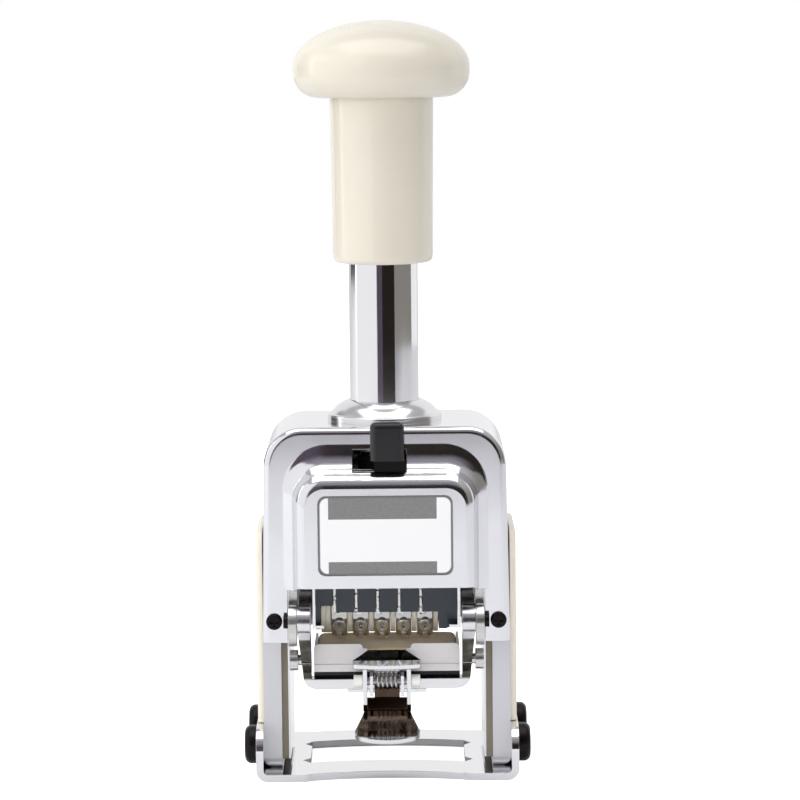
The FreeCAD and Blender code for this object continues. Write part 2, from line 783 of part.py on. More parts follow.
def emboss_wire(y, half, top, corner):
    """One section of the raised front, square at the bottom with two round upper corners."""
    low = (cover_low - emboss_lip).value
    bend = corner * (1 - math.sqrt(0.5))

    def spot(x, z):
        return FreeCAD.Vector(x, y, z)

    return Part.Wire([
        Part.makeLine(spot(-half, low), spot(half, low)),
        Part.makeLine(spot(half, low), spot(half, top - corner)),
        arc_through(spot(half, top - corner), spot(half - bend, top - bend), spot(half - corner, top)),
        Part.makeLine(spot(half - corner, top), spot(corner - half, top)),
        arc_through(spot(corner - half, top), spot(bend - half, top - bend), spot(-half, top - corner)),
        Part.makeLine(spot(-half, top - corner), spot(-half, low)),
    ])


# The raised front from its foot to its flat: shares of its height, then how much of the
# emboss height the sides, the top edge and the corners have drawn in by there. The inner
# corner draws in by a share of the wall.
inner_corner_share = 0.5
emboss_shares = [
    (-0.10, -0.16, -0.70, -0.40),
    (0.01, -0.13, -0.62, -0.36),
    (0.04, -0.07, -0.32, -0.18),
    (0.10, 0.06, -0.08, 0.00),
    (0.18, 0.20, 0.10, 0.10),
    (0.32, 0.29, 0.26, 0.17),
    (0.60, 0.36, 0.42, 0.24),
    (0.82, 0.45, 0.58, 0.34),
    (0.95, 0.58, 0.78, 0.48),
    (1.00, 0.74, 0.98, 0.62),
]


def emboss_solid(inset):
    out, face = emboss_out.value, -house_deep.value
    sections = []
    for share, side_in, top_in, corner_in in emboss_shares:
        y = face - out * share + inset
        half = emboss_half.value - out * side_in - inset
        top = emboss_top.value - out * top_in - inset
        corner = emboss_corner.value - out * corner_in - inset * inner_corner_share
        sections.append(emboss_wire(y, half, top, corner))
    return Part.makeLoft(sections, True, False)


def make_housing():
    outside = housing_block("housing_outside", ZERO)

    def rim(edge):
        box_ = edge.BoundBox
        on_face = near(abs(box_.YMin), house_deep) and near(abs(box_.YMax), house_deep)
        return on_face and box_.YMin * box_.YMax > 0 and not near(box_.ZMax, house_low)

    outside = rounded("housing_rims", outside, house_edge, rim)
    outside = fuse("housing_with_emboss", outside, solid_feature("emboss_outside", emboss_solid(0)))
    hollow = fuse("housing_hollow", housing_block("housing_inside", house_wall),
                  solid_feature("emboss_inside", emboss_solid(house_wall.value)))
    open_y = (-house_deep - overrun - emboss_out, house_deep + overrun)
    mouth = box("housing_mouth", (-arm_inner, arm_inner), (-house_deep, house_deep + overrun),
                (house_low - overrun, cover_low))
    front_mouth = box("hood_mouth_block", (-emboss_mouth_half, emboss_mouth_half), open_y,
                      (house_low - overrun, cover_low))

    def upper_corner(edge):
        return straight_along(edge, "y") and near(edge.BoundBox.ZMin, cover_low)

    front_mouth = rounded("hood_mouth", front_mouth, emboss_mouth_r, upper_corner)
    tube_hole = rod("housing_tube_hole", "z", (0, 0), tube_r + fit,
                    (house_top - house_wall * 2, house_top + overrun))
    slot_x = (-slot_left, slot_right)
    front_slot = box("mode_front_slot", slot_x, past((-house_deep - house_wall, -house_deep + house_wall)),
                     (slot_low, slot_high))
    roof_slot = box("mode_roof_slot", slot_x, (-slot_roof_front, -slot_roof_rear),
                    (emboss_top - emboss_out, emboss_top + loose))
    face = -house_deep - emboss_out
    recess = prism("label_recess", "front", (face - overrun, face + label_deep),
                   rectangle((-label_half, label_half), (label_low, label_top)))
    recess = rounded("label_recess_round", recess, label_corner, lambda e: straight_along(e, "y"))
    holes = [rod("housing_screw_hole_%s" % name, "y", (house_screw_x * way, house_screw_z),
                 house_shank_r + fit, (-house_deep - overrun, -house_deep + house_wall + overrun))
             for name, way in (("left", -1), ("right", 1))]
    rear_holes = [rod("housing_rear_hole_%s" % name, "y", (rear_screw_x * way, rear_screw_z),
                      house_shank_r + fit, (house_deep - house_wall - overrun, house_deep + overrun))
                  for name, way in (("left", -1), ("right", 1))]
    shell = cut("housing_shell", outside, hollow, mouth, front_mouth, tube_hole, front_slot, roof_slot,
                recess, *holes, *rear_holes)
    node("housing_shell", shell)


def cross_head_screw(name, x, z, seat, way, length):
    """A screw along Y with a cross recess; way is -1 when its head faces the front."""
    top = seat + house_head * way
    head_ends = (top, seat) if way < 0 else (seat, top)
    head = rod(name + "_head", "y", (x, z), house_head_r, head_ends)

    def crown(edge):
        return near(edge.BoundBox.YMin, top) and near(edge.BoundBox.YMax, top)

    head = rounded(name + "_crown", head, house_head / 2, crown)
    tail = seat - length * way
    shank = rod(name + "_shank", "y", (x, z), house_shank_r, (seat, tail) if way < 0 else (tail, seat))
    arm, thin = house_head_r * recess_arm_share, house_head_r * recess_line_share
    depth = (top, top - house_head * recess_depth_share * way)
    ends = depth if way < 0 else depth[::-1]
    across = box(name + "_recess_a", (x - arm, x + arm), ends, (z - thin, z + thin))
    upright = box(name + "_recess_b", (x - thin, x + thin), ends, (z - arm, z + arm))
    return cut(name, fuse(name + "_solid", head, shank), across, upright)


def make_housing_screws():
    front = [cross_head_screw("housing_screw_%s" % name, house_screw_x * way, house_screw_z,
                              -house_deep, -1, house_wall + leg_wall)
             for name, way in (("left", -1), ("right", 1))]
    node("housing_screws", group("housing_screws", *front))
    seat = house_deep + rear_thick
    rear = [cross_head_screw("rear_screw_%s" % name, rear_screw_x * way, rear_screw_z, seat, 1,
                             rear_thick + house_wall)
            for name, way in (("left", -1), ("right", 1))]
    node("rear_cover_screws", group("rear_cover_screws", *rear))


def make_label_plate():
    face = -house_deep - emboss_out + label_deep
    plate = prism("label_plate_block", "front", (face - label_thick, face),
                  rectangle((-label_half + slide_gap, label_half - slide_gap),
                            (label_low + slide_gap, label_top - slide_gap)))
    node("label_plate", rounded("label_plate", plate, label_corner - slide_gap,
                                lambda e: straight_along(e, "y")))


def make_rear_cover():
    plate = prism("rear_cover_block", "front", (house_deep, house_deep + rear_thick),
                  rectangle((-rear_half, rear_half), (rear_low, rear_top)))
    plate = rounded("rear_cover_round", plate, rear_corner, lambda e: straight_along(e, "y"))

    def outer_rim(edge):
        return near(edge.BoundBox.YMin, house_deep + rear_thick)

    plate = rounded("rear_cover_soft", plate, rear_thick / 2, outer_rim)
    holes = [rod("rear_cover_hole_%s" % name, "y", (rear_screw_x * way, rear_screw_z),
                 house_shank_r + fit, past((house_deep, house_deep + rear_thick)))
             for name, way in (("left", -1), ("right", 1))]
    node("rear_cover", cut("rear_cover", plate, *holes))


def make_side_covers():
    inner = base_half - base_sheet
    plate = box("side_cover_block", side_span(inner, side_cover_out), (-side_cover_deep, side_cover_deep),
                (ear_top + slide_gap, side_cover_top))

    def upper_corner(edge):
        return straight_along(edge, "x") and near(edge.BoundBox.ZMin, side_cover_top)

    plate = rounded("side_cover_corners", plate, side_cover_corner, upper_corner)

    def outer_rim(edge):
        low_edge = near(edge.BoundBox.ZMax, ear_top + slide_gap)
        return near(edge.BoundBox.XMax, -side_cover_out) and not low_edge

    pair("side_cover", rounded("side_cover_left", plate, side_cover_edge, outer_rim))


def collar_neck(low, high):
    """The domed neck of the collar, a bowed profile turned round the tube."""
    wide, narrow = (collar_r - collar_ledge).value, (tube_r + collar_lip).value
    lean = math.atan2(high - low, wide - narrow)

    def spot(x, z):
        return FreeCAD.Vector(x, 0, z)

    outer, inner = spot(wide, low), spot(narrow, high)
    bowed = (outer + inner) * 0.5 + spot(math.sin(lean), math.cos(lean)) * collar_bulge.value
    profile = Part.Wire([
        Part.makeLine(spot(0, low), outer),
        arc_through(outer, bowed, inner),
        Part.makeLine(inner, spot(0, high)),
        Part.makeLine(spot(0, high), spot(0, low)),
    ])
    return Part.Face(profile).revolve(spot(0, 0), FreeCAD.Vector(0, 0, 1), 360)


def make_tube_and_collar():
    node("guide_tube", tube("guide_tube", "z", (0, 0), tube_r, tube_r - tube_wall, (tube_low, tube_top)))
    low = house_top
    shoulder = low + collar_rim
    rim = rod("collar_rim", "z", (0, 0), collar_r, (low, shoulder))

    def rim_edge(edge):
        return near(edge.BoundBox.ZMin, shoulder)

    rim = rounded("collar_rim_round", rim, collar_rim_r, rim_edge)
    neck = solid_feature("collar_neck", collar_neck(shoulder.value, (shoulder + collar_cone).value))
    bore = rod("collar_bore", "z", (0, 0), tube_r + fit, past((low, shoulder + collar_cone)))
    node("tube_collar", cut("tube_collar", fuse("collar_solid", rim, neck), bore))
    nut_top = house_top - house_wall
    node("tube_nut", tube("tube_nut", "z", (0, 0), nut_r, tube_r + fit, (nut_top - nut_tall, nut_top)))
    seat_low = house_top - house_wall - nut_tall
    seat = tube("spring_seat", "z", (0, 0), tube_r - tube_wall - fit, rod_r + slide_gap,
                (seat_low, seat_low + seat_tall))
    node("spring_seat", seat)


def make_handle():
    roof = knob_low - grip_roof
    sleeve = cone("grip_outside", "z", (0, 0), (grip_low_r, grip_top_r), (grip_low, knob_low))

    def lip(edge):
        return near(edge.BoundBox.ZMax, grip_low)

    sleeve = rounded("grip_lip", sleeve, grip_lip, lip)
    bore = rod("grip_bore", "z", (0, 0), tube_r + slide_gap, (grip_low - overrun, roof))
    rod_hole = rod("grip_rod_hole", "z", (0, 0), rod_r + fit, (roof - overrun, knob_low + overrun))
    node("grip_sleeve", cut("grip_sleeve", sleeve, bore, rod_hole))
    belt = rod("knob_belt", "z", (0, 0), knob_r, (knob_low, knob_belt))

    def lower_edge(edge):
        return near(edge.BoundBox.ZMax, knob_low)

    belt = rounded("knob_belt_round", belt, knob_edge, lower_edge)
    dome = DOC.addObject("Part::Ellipsoid", "knob_dome")
    bind(dome, "Radius1", knob_top - knob_belt)
    bind(dome, "Radius2", knob_r)
    dome.Angle1 = 0
    place(dome, 0, 0, knob_belt)
    socket = rod("knob_socket", "z", (0, 0), rod_r + fit, (knob_low - overrun, rod_top + slide_gap))
    node("knob_cap", cut("knob_cap", fuse("knob_solid", belt, dome), socket))
    node("plunger_rod", rod("plunger_rod", "z", (0, 0), rod_r, (yoke_low, rod_top)))


def make_return_spring():
    low = house_top - house_wall - nut_tall + seat_tall + spring_wire + fit
    high = knob_low - grip_roof - spring_wire - fit
    pitch = (high.value - low.value) / spring_turns
    spot = coil_spot("z", (0, 0, low.value), spring_r.value, pitch)
    print("return spring least gap", round(least_gap(spot, spring_turns, spring_wire.value), 3))
    wire = coil_tube(spot, spring_turns, spring_wire.value, 0, 0)
    node("return_spring", solid_feature("return_spring", wire))


def cheek(name, span, front, rear, top, end_r):
    """A hanging side plate with a round lower end about the axle."""
    points = [(-front, top), (-end_r, axle_z), (end_r, axle_z), (rear, top)]
    return prism(name, "side", span, points, {1: -end_r * round_end_share})


def make_yoke():
    plate = box("yoke_plate", (-yoke_half, yoke_half), (-yoke_front, yoke_rear), (yoke_low, yoke_top))
    left = cheek("yoke_cheek_left", side_span(yoke_half - yoke_sheet, yoke_half), yoke_front, yoke_rear,
                 yoke_low, cheek_end_r)
    rod_hole = rod("yoke_rod_hole", "z", (0, 0), rod_r + fit, past((yoke_low, yoke_top)))
    axle_hole = rod("yoke_axle_hole", "x", (0, axle_z), axle_r + fit, past((-yoke_half, yoke_half)))
    solid = fuse("yoke_solid", plate, left, mirror("yoke_cheek_right", left))
    node("yoke", cut("yoke", solid, rod_hole, axle_hole))
    node("stroke_bumper", tube("stroke_bumper", "z", (0, 0), bumper_r, rod_r + fit,
                               (yoke_top, house_top - house_wall - nut_tall - slide_gap)))
    node("wheel_axle", rod("wheel_axle", "x", (0, axle_z), axle_r, (-yoke_half, yoke_half)))


def make_wheel_plates():
    inner = plate_out - plate_sheet
    upright = box("wheel_plate_upright", side_span(inner, plate_out), (-plate_front, plate_rear),
                  (plate_low, comb_top))
    flange = box("wheel_plate_foot", side_span(inner - plate_flange, inner),
                 (-plate_front, -plate_front + plate_flange), (plate_low, plate_low + plate_sheet))
    hole = rod("wheel_plate_hole", "x", (0, axle_z), axle_r + fit, past(side_span(inner, plate_out)))
    pair("wheel_plate", cut("wheel_plate_left", fuse("wheel_plate_solid", upright, flange), hole))


def wheel_x(n):
    """The middle of a number wheel, counted from the left."""
    return wheels_left + wheel_wide / 2 + wheel_pitch * n


def make_comb():
    inner = plate_out - plate_sheet
    span = (-comb_front, -comb_front + comb_thick)
    bar = box("comb_bar_block", (-inner, inner), span, (comb_low, comb_top))
    slots = []
    for n in range(wheel_count):
        x = wheel_x(n) - finger_shift
        slots.append(box("comb_slot_%d" % (n + 1), (x - comb_slot / 2, x + comb_slot / 2), past(span),
                         (comb_low - overrun, comb_slot_top)))
    left_end = wheel_x(0) - finger_shift - comb_slot / 2
    step = box("comb_end_step", (-inner - overrun, left_end), past(span), (comb_low - overrun, comb_end_low))
    node("comb_bar", cut("comb_bar", bar, step, *slots))


def make_detent_comb():
    back = -comb_front + comb_thick
    span = (back, back + finger_thick)
    strip_low = comb_slot_top
    left, right = wheel_x(0) - wheel_wide / 2, wheel_x(wheel_count - 1) + wheel_wide / 2
    strip = box("detent_strip", (left, right), span, (strip_low, comb_top))
    fingers = []
    half = finger_wide / 2
    heel_z = finger_low + half
    for n in range(wheel_count):
        x = wheel_x(n) - finger_shift
        tip_x = x + finger_hook
        fingers += [
            box("detent_finger_%d" % (n + 1), (x - half, x + half), span, (heel_z, strip_low)),
            rod("detent_heel_%d" % (n + 1), "y", (x, heel_z), half, span),
            rod("detent_tip_%d" % (n + 1), "y", (tip_x, heel_z), half, span),
            box("detent_hook_%d" % (n + 1), (x, tip_x), span, (finger_low, finger_low + finger_wide)),
        ]
    node("detent_comb", fuse("detent_comb", strip, *fingers))


# Ten digits and two blanks round a wheel, drawn on a grid of three by five cells.
digit_strokes = {
    0: ["top", "left_up", "right_up", "left_down", "right_down", "bottom"],
    1: ["right_up", "right_down"],
    2: ["top", "right_up", "middle", "left_down", "bottom"],
    3: ["top", "right_up", "middle", "right_down", "bottom"],
    4: ["left_up", "right_up", "middle", "right_down"],
    5: ["top", "left_up", "middle", "right_down", "bottom"],
    6: ["top", "left_up", "middle", "left_down", "right_down", "bottom"],
    7: ["top", "right_up", "right_down"],
    8: ["top", "left_up", "right_up", "middle", "left_down", "right_down", "bottom"],
    9: ["top", "left_up", "right_up", "middle", "right_down", "bottom"],
}

digit_half_share = 0.31
digit_tall_share = 0.36
digit_line_share = 0.12


def digit_solid(digit, relief):
    """One digit, mirrored as type is, standing on a face that looks along +Z."""
    half = wheel_wide.value * digit_half_share
    tall = 2 * wheel_flat.value * math.tan(math.pi / face_count) * digit_tall_share
    line = wheel_wide.value * digit_line_share / 2
    ends = {
        "top": ((-half, tall), (half, tall)), "middle": ((-half, 0), (half, 0)),
        "bottom": ((-half, -tall), (half, -tall)),
        "left_up": ((half, 0), (half, tall)), "right_up": ((-half, 0), (-half, tall)),
        "left_down": ((half, -tall), (half, 0)), "right_down": ((-half, -tall), (-half, 0)),
    }
    bars = []
    for stroke_name in digit_strokes[digit]:
        (x0, y0), (x1, y1) = ends[stroke_name]
        bars.append(Part.makeBox(x1 - x0 + 2 * line, y1 - y0 + 2 * line, relief * 2,
                                 FreeCAD.Vector(x0 - line, y0 - line, -relief)))
    return bars[0].fuse(bars[1:]).removeSplitter()


def wheel_shape(n):
    """A type wheel with flat faces and raised digits, its first digit in front, looking down."""
    body_r = wheel_flat.value - digit_relief.value
    x = wheel_x(n).value
    width, centre_z = wheel_wide.value, axle_z.value
    corner_r = body_r / math.cos(math.pi / face_count)
    corners = []
    for k in range(face_count):
        angle = 2 * math.pi * (k + 0.5) / face_count
        corners.append(FreeCAD.Vector(x - width / 2, corner_r * math.sin(angle),
                                      centre_z + corner_r * math.cos(angle)))
    blank = Part.Face(Part.makePolygon(corners + corners[:1])).extrude(FreeCAD.Vector(width, 0, 0))
    digits = []
    axis = FreeCAD.Vector(1, 0, 0)
    for digit in digit_strokes:
        mark = digit_solid(digit, digit_relief.value)
        mark.translate(FreeCAD.Vector(x, 0, centre_z + body_r))
        mark.rotate(FreeCAD.Vector(x, 0, centre_z), axis,
                    first_digit_turn + 360 * digit / face_count)
        digits.append(mark)
    bore = Part.makeCylinder(axle_r.value + fit.value, width + 2 * overrun.value,
                             FreeCAD.Vector(x - width / 2 - overrun.value, 0, centre_z), axis)
    return blank.fuse(digits).cut(bore).removeSplitter()


def make_wheels():
    for n in range(wheel_count):
        number = n + 1
        node("number_wheel_%d" % number, solid_feature("number_wheel_%d" % number, wheel_shape(n)))
        start = wheel_x(n) + wheel_wide / 2 + fit
        ring = tube("ratchet_ring_%d" % number, "x", (0, axle_z), ratchet_r, axle_r + fit,
                    (start, start + ratchet_wide))
        node("ratchet_ring_%d" % number, ring)


def make_spacers():
    start = wheel_x(0) - wheel_wide / 2 - slide_gap
    rings = []
    for n in range(2):
        end = start - (spacer_wide + fit) * n
        rings.append(tube("spacer_ring_%d" % (n + 1), "x", (0, axle_z), spacer_r, axle_r + fit,
                          (end - spacer_wide, end)))
    node("spacer_rings", group("spacer_rings", *rings))
    left_end = -plate_out + plate_sheet
    right_start = wheel_x(wheel_count - 1) + wheel_wide / 2 + fit + ratchet_wide + slide_gap
    right_end = right_start + right_plate_thick
    plates = []
    for name, span, deep in (("left", (left_end, left_end + end_plate_thick), end_plate_half),
                             ("right", (right_start, right_end), end_plate_half),
                             ("block", (right_end, -left_end), end_plate_half - end_plate_thick)):
        blank = box("end_plate_%s_blank" % name, span, (-deep, end_plate_half - end_plate_thick),
                    (end_plate_low, end_plate_top))
        hole = rod("end_plate_%s_hole" % name, "x", (0, axle_z), axle_r + fit, past(span))
        plates.append(cut("end_plate_" + name, blank, hole))
    node("end_plates", group("end_plates", *plates))


def make_feed_rocker():
    arm_span = side_span(rocker_in, rocker_out)
    hub = rod("rocker_hub_left", "x", (0, axle_z), rocker_hub_r, arm_span)
    low, high = axle_z - rocker_half_tall, axle_z + rocker_half_tall
    arm = box("rocker_arm_left", side_span(rocker_in, rocker_in + rocker_sheet), (ZERO, rocker_bar_out),
              (low, high))
    side = fuse("rocker_side_left", hub, arm)
    bar = box("rocker_bar", (-rocker_in, rocker_in), (rocker_bar_in, rocker_bar_out), (low, high))
    pawls = []
    for n in range(wheel_count):
        x = wheel_x(n) + wheel_wide / 2 + fit
        pawls.append(box("rocker_pawl_%d" % (n + 1), (x, x + ratchet_wide), (pawl_tip, rocker_bar_in),
                         (axle_z - pawl_tall / 2, axle_z + pawl_tall / 2)))
    bore = rod("rocker_bore", "x", (0, axle_z), axle_r + fit, past((-rocker_out, rocker_out)))
    solid = fuse("rocker_solid", side, mirror("rocker_side_right", side), bar, *pawls)
    node("feed_rocker", cut("feed_rocker", solid, bore))


def make_pivot_brackets():
    outer = leg_inner - liner_thick - guide_sheet
    span = side_span(hub_out + slide_gap, outer)
    front = -pivot_y
    points = [(front, pivot_z - hub_r), (-liner_deep, bracket_low), (-bracket_rear, bracket_low),
              (-bracket_rear, bracket_top), (-liner_deep, bracket_top), (-liner_deep, pivot_z + hub_r),
              (front, pivot_z + hub_r)]
    plate = prism("pivot_bracket_plate", "side", span, points)
    lug_z = pivot_z - bracket_drop
    lug = prism("pivot_bracket_lug", "side", span,
                rectangle((front - hub_r, front + hub_r), (lug_z, pivot_z)),
                {0: -hub_r * round_end_share, 2: -hub_r * round_end_share})
    hole = rod("pivot_bracket_hole", "x", (front, pivot_z), pivot_pin_r + fit, past(span))
    pair("pivot_bracket", cut("pivot_bracket_left", fuse("pivot_bracket_solid", plate, lug), hole))
    seat = outer
    screws = []
    for name, way in (("left", -1), ("right", 1)):
        head_ends = (seat * way, (seat + pivot_head) * way)
        pin_ends = (frame_in * way, seat * way)
        head = rod("pivot_head_" + name, "x", (front, pivot_z), pivot_head_r, head_ends[::way])
        pin = rod("pivot_pin_" + name, "x", (front, pivot_z), pivot_pin_r, pin_ends[::way])
        screws.append(fuse("pivot_screw_" + name, head, pin))
    node("pivot_screws", group("pivot_screws", *screws))


def make_pad_frame():
    bar_top = frame_low + frame_bar
    top = pivot_z + hub_r
    front = -pivot_y
    profile = [(-frame_out, frame_low), (frame_out, frame_low), (hub_out, pivot_z), (hub_out, top),
               (frame_in, top), (frame_in, bar_top), (-frame_in, bar_top), (-frame_in, top),
               (-hub_out, top), (-hub_out, pivot_z)]
    blank = prism("pad_frame_blank", "front", (front - hub_r, -frame_rear), profile)

    def low_corner(edge):
        return straight_along(edge, "y") and near(edge.BoundBox.ZMax, frame_low)

    blank = rounded("pad_frame_round", blank, frame_corner, low_corner)
    wide = (-hub_out - overrun, hub_out + overrun)
    side = prism("pad_frame_side", "side", wide,
                 [(-frame_front, frame_low), (-frame_rear, frame_low), (-frame_rear, bar_top + frame_corner),
                  (front + hub_r, pivot_z), (front, pivot_z), (front - hub_r, pivot_z - hub_r / 2),
                  (-frame_front, bar_top + frame_corner / 2)])
    hub = rod("pad_frame_hub", "x", (front, pivot_z), hub_r, wide)
    arms = common("pad_frame_arms", blank, fuse("pad_frame_outline", side, hub))
    pin_hole = rod("pad_frame_hole", "x", (front, pivot_z), pivot_pin_r + fit, past((-hub_out, hub_out)))
    stub_hole = rod("pad_frame_stub_hole", "x", (-boss_y, boss_z), pivot_pin_r, past((-hub_out, hub_out)))
    node("pad_frame", cut("pad_frame", arms, pin_hole, stub_hole))
    bosses = []
    for name, way in (("left", -1), ("right", 1)):
        roller = (hub_out * way, boss_out * way)
        stub = (frame_in * way, hub_out * way)
        bosses.append(fuse("swing_boss_" + name,
                           rod("swing_roller_" + name, "x", (-boss_y, boss_z), boss_r, roller[::way]),
                           rod("swing_stub_" + name, "x", (-boss_y, boss_z), pivot_pin_r - fit, stub[::way])))
    node("swing_bosses", group("swing_bosses", *bosses))


def make_pad_tray():
    front, rear = -tray_front, tray_rear
    wide = (-tray_half, tray_half)
    floor = box("tray_floor", wide, (front, rear), (tray_low, tray_low + tray_sheet))
    face = prism("tray_face_block", "front", (front, front + tray_sheet),
                 rectangle(wide, (tray_low, tray_top)))

    def face_corner(edge):
        return straight_along(edge, "y") and near(edge.BoundBox.ZMin, tray_top)

    face = rounded("tray_face", face, tray_corner, face_corner)
    lip = box("tray_lip", wide, (front - tray_sheet / 2, front), (tray_low, tray_lip_top))
    side = box("tray_side_left", side_span(tray_half - tray_sheet, tray_half), (front, rear),
               (tray_low, tray_side_top))
    through = past((front, front + tray_sheet))
    narrow = tray_notch_half - tray_step
    notch = fuse("tray_notch",
                 box("tray_notch_low", (-narrow, narrow), through, (tray_notch_low, tray_top + overrun)),
                 box("tray_notch_high", (-tray_notch_half, tray_notch_half), through,
                     (tray_step_top, tray_top + overrun)))
    feet = box("tray_feet", wide, (-frame_rear - overrun, -frame_rear), (frame_low + frame_bar, tray_low))
    solid = fuse("tray_solid", floor, face, lip, side, mirror("tray_side_right", side), feet)

    def notch_corner(edge):
        at_notch = near(abs(edge.BoundBox.XMin), tray_notch_half) and near(edge.BoundBox.ZMin, tray_top)
        return straight_along(edge, "y") and at_notch

    node("pad_tray", rounded("pad_tray", cut("tray_notched", solid, notch), tray_step, notch_corner))
    inner = tray_half - tray_sheet
    felt = box("ink_pad_block", (-inner, inner), (front + tray_sheet, rear),
               (tray_low + tray_sheet, felt_top))

    def upper(edge):
        return near(edge.BoundBox.ZMin, felt_top)

    node("ink_pad", rounded("ink_pad", felt, felt_edge, upper))


def clip_lever_tab():
    """The upper thumb plate: a rolled front edge, then a slope up to the hook over the tray."""
    front, rear, bend_y = -clip_tab_front, -clip_tab_rear, -clip_tab_bend
    low_front = clip_tab_z - clip_tab_drop
    side = prism("clip_tab_side", "side", (-clip_tab_half, clip_tab_half),
                 [(front - clip_tab_bow, low_front), (bend_y, clip_tab_z), (rear, clip_hook_top - clip_sheet),
                  (rear, clip_hook_top), (bend_y, clip_tab_z + clip_sheet),
                  (front - clip_tab_bow, low_front + clip_sheet)])
    nose = front + clip_tab_nose
    plan = prism("clip_tab_plan", "top", (low_front - overrun, clip_hook_top + overrun),
                 [(-clip_hook_half, rear), (-clip_tab_half, nose), (-clip_tab_half, front),
                  (clip_tab_half, front), (clip_tab_half, nose), (clip_hook_half, rear)],
                 {2: -clip_tab_bow})

    def front_corner(edge):
        return straight_along(edge, "z") and near(edge.BoundBox.YMin, front)

    plate = common("clip_tab_plate", side, rounded("clip_tab_round", plan, clip_sheet, front_corner))
    lip = rod("clip_tab_lip", "x", (front + clip_tab_lip_r, low_front + clip_tab_lip_r / 2), clip_tab_lip_r,
              (-clip_tab_half + clip_sheet, clip_tab_half - clip_sheet))
    return fuse("clip_tab", plate, lip)


def clip_lever_blade():
    """The lower spoon-shaped finger plate, wider towards its rolled lip."""
    knee, front = -clip_knee_y, -clip_lip_front
    top = clip_lip_low + clip_sheet
    side = prism("clip_blade_side", "side", (-clip_lip_half, clip_lip_half),
                 [(knee, clip_knee_z), (front, top), (front, clip_lip_low), (knee, clip_knee_z - clip_sheet)],
                 {0: clip_blade_sag, 2: -clip_blade_sag})
    nose = front + clip_lip_bow
    plan = prism("clip_blade_plan", "top", (clip_lip_low - overrun * 2, clip_knee_z + overrun),
                 [(-clip_blade_half, knee), (-clip_lip_half, nose), (clip_lip_half, nose),
                  (clip_blade_half, knee)], {1: -clip_lip_bow})

    def lip_corner(edge):
        return straight_along(edge, "z") and near(edge.BoundBox.YMin, nose)

    return common("clip_blade", side, rounded("clip_blade_round", plan, clip_lip_round, lip_corner))


# Where the curved back of the lever starts and ends, in degrees above and below the rear.
back_start = 75
back_end = -60


def clip_back(pin_y, pin_z):
    """The back of the lever, which goes round behind the spring from the thumb plate to the web."""
    half_turn = math.radians((back_start - back_end) / 2)
    rise = 1 - math.cos(half_turn)
    inner, outer = clip_back_r, clip_back_r + clip_back_sheet

    def spot(radius, turn):
        return (pin_y + radius * math.cos(math.radians(turn)), pin_z + radius * math.sin(math.radians(turn)))

    foot = (-clip_web_rear, clip_web_top - overrun)
    points = [(spot(inner, back_start)[0], clip_tab_z), spot(inner, back_start), spot(inner, back_end),
              (foot[0] - clip_back_sheet, foot[1]), foot, spot(outer, back_end), spot(outer, back_start),
              (spot(outer, back_start)[0], clip_tab_z + clip_sheet / 2)]
    return prism("clip_back", "side", (-clip_back_half, clip_back_half), points,
                 {1: inner * rise, 5: -outer * rise})


def make_clip_lever(pin_y, pin_z):
    rear, web_rear = -clip_cheek_rear, -clip_web_rear
    knee, knee_low = -clip_knee_y, clip_knee_z - clip_sheet
    outline = [(-clip_cheek_front, clip_tab_z), (-clip_cheek_front, clip_knee_z + clip_sheet),
               (knee - clip_sheet, knee_low), (knee, knee_low),
               (web_rear, clip_web_top), (rear, pin_z - clip_bush_r), (rear, clip_tab_z)]
    cheek_left = prism("clip_cheek_left", "side", side_span(clip_cheek_in, clip_cheek_out), outline)
    web = prism("clip_web", "side", (-clip_cheek_in, clip_cheek_in),
                [(knee, knee_low), (web_rear, clip_web_top), (web_rear - clip_sheet, clip_web_top),
                 (knee - clip_sheet, clip_knee_z - clip_sheet / 2)])
    solid = fuse("clip_lever_solid", clip_lever_tab(), clip_lever_blade(), cheek_left,
                 mirror("clip_cheek_right", cheek_left), web, clip_back(pin_y, pin_z))
    hole = rod("clip_lever_hole", "x", (pin_y, pin_z), clip_pin_r + fit,
               past((-clip_cheek_out, clip_cheek_out)))
    return cut("clip_lever", solid, hole)


def make_clip():
    pin_y, pin_z = -clip_pin_y, clip_pin_z
    bar_front = -frame_front
    foot = box("clip_holder_foot", (-holder_half, holder_half), (bar_front, -frame_rear),
               (holder_low, frame_low))
    ear_span = side_span(holder_in, holder_in + holder_sheet)
    ear = box("clip_holder_ear_left", ear_span, (-holder_front, bar_front), (holder_low, holder_top))
    holder = fuse("clip_holder_solid", foot, ear, mirror("clip_holder_ear_right", ear))
    hole = rod("clip_holder_hole", "x", (pin_y, pin_z), clip_pin_r + fit, past((-holder_half, holder_half)))
    node("clip_holder", cut("clip_holder", holder, hole))

    node("clip_pin", rod("clip_pin", "x", (pin_y, pin_z), clip_pin_r, (-clip_pin_half, clip_pin_half)))
    bushes = [tube("clip_bush_" + name, "x", (pin_y, pin_z), clip_bush_r, clip_pin_r + fit, span)
              for name, span in (("left", side_span(clip_cheek_out + fit, clip_pin_half)),
                                 ("right", (clip_cheek_out + fit, clip_pin_half)))]
    node("clip_bushes", group("clip_bushes", *bushes))

    node("clip_lever", make_clip_lever(pin_y, pin_z))

    half_wound = torsion_pitch.value * torsion_turns / 2
    spot = coil_spot("x", (-half_wound, pin_y.value, pin_z.value), torsion_r.value, torsion_pitch.value)
    print("clip spring least gap", round(least_gap(spot, torsion_turns, torsion_wire.value), 3))
    wire = coil_tube(spot, torsion_turns, torsion_wire.value, torsion_leg.value, torsion_leg.value)
    node("clip_spring", solid_feature("clip_spring", wire))


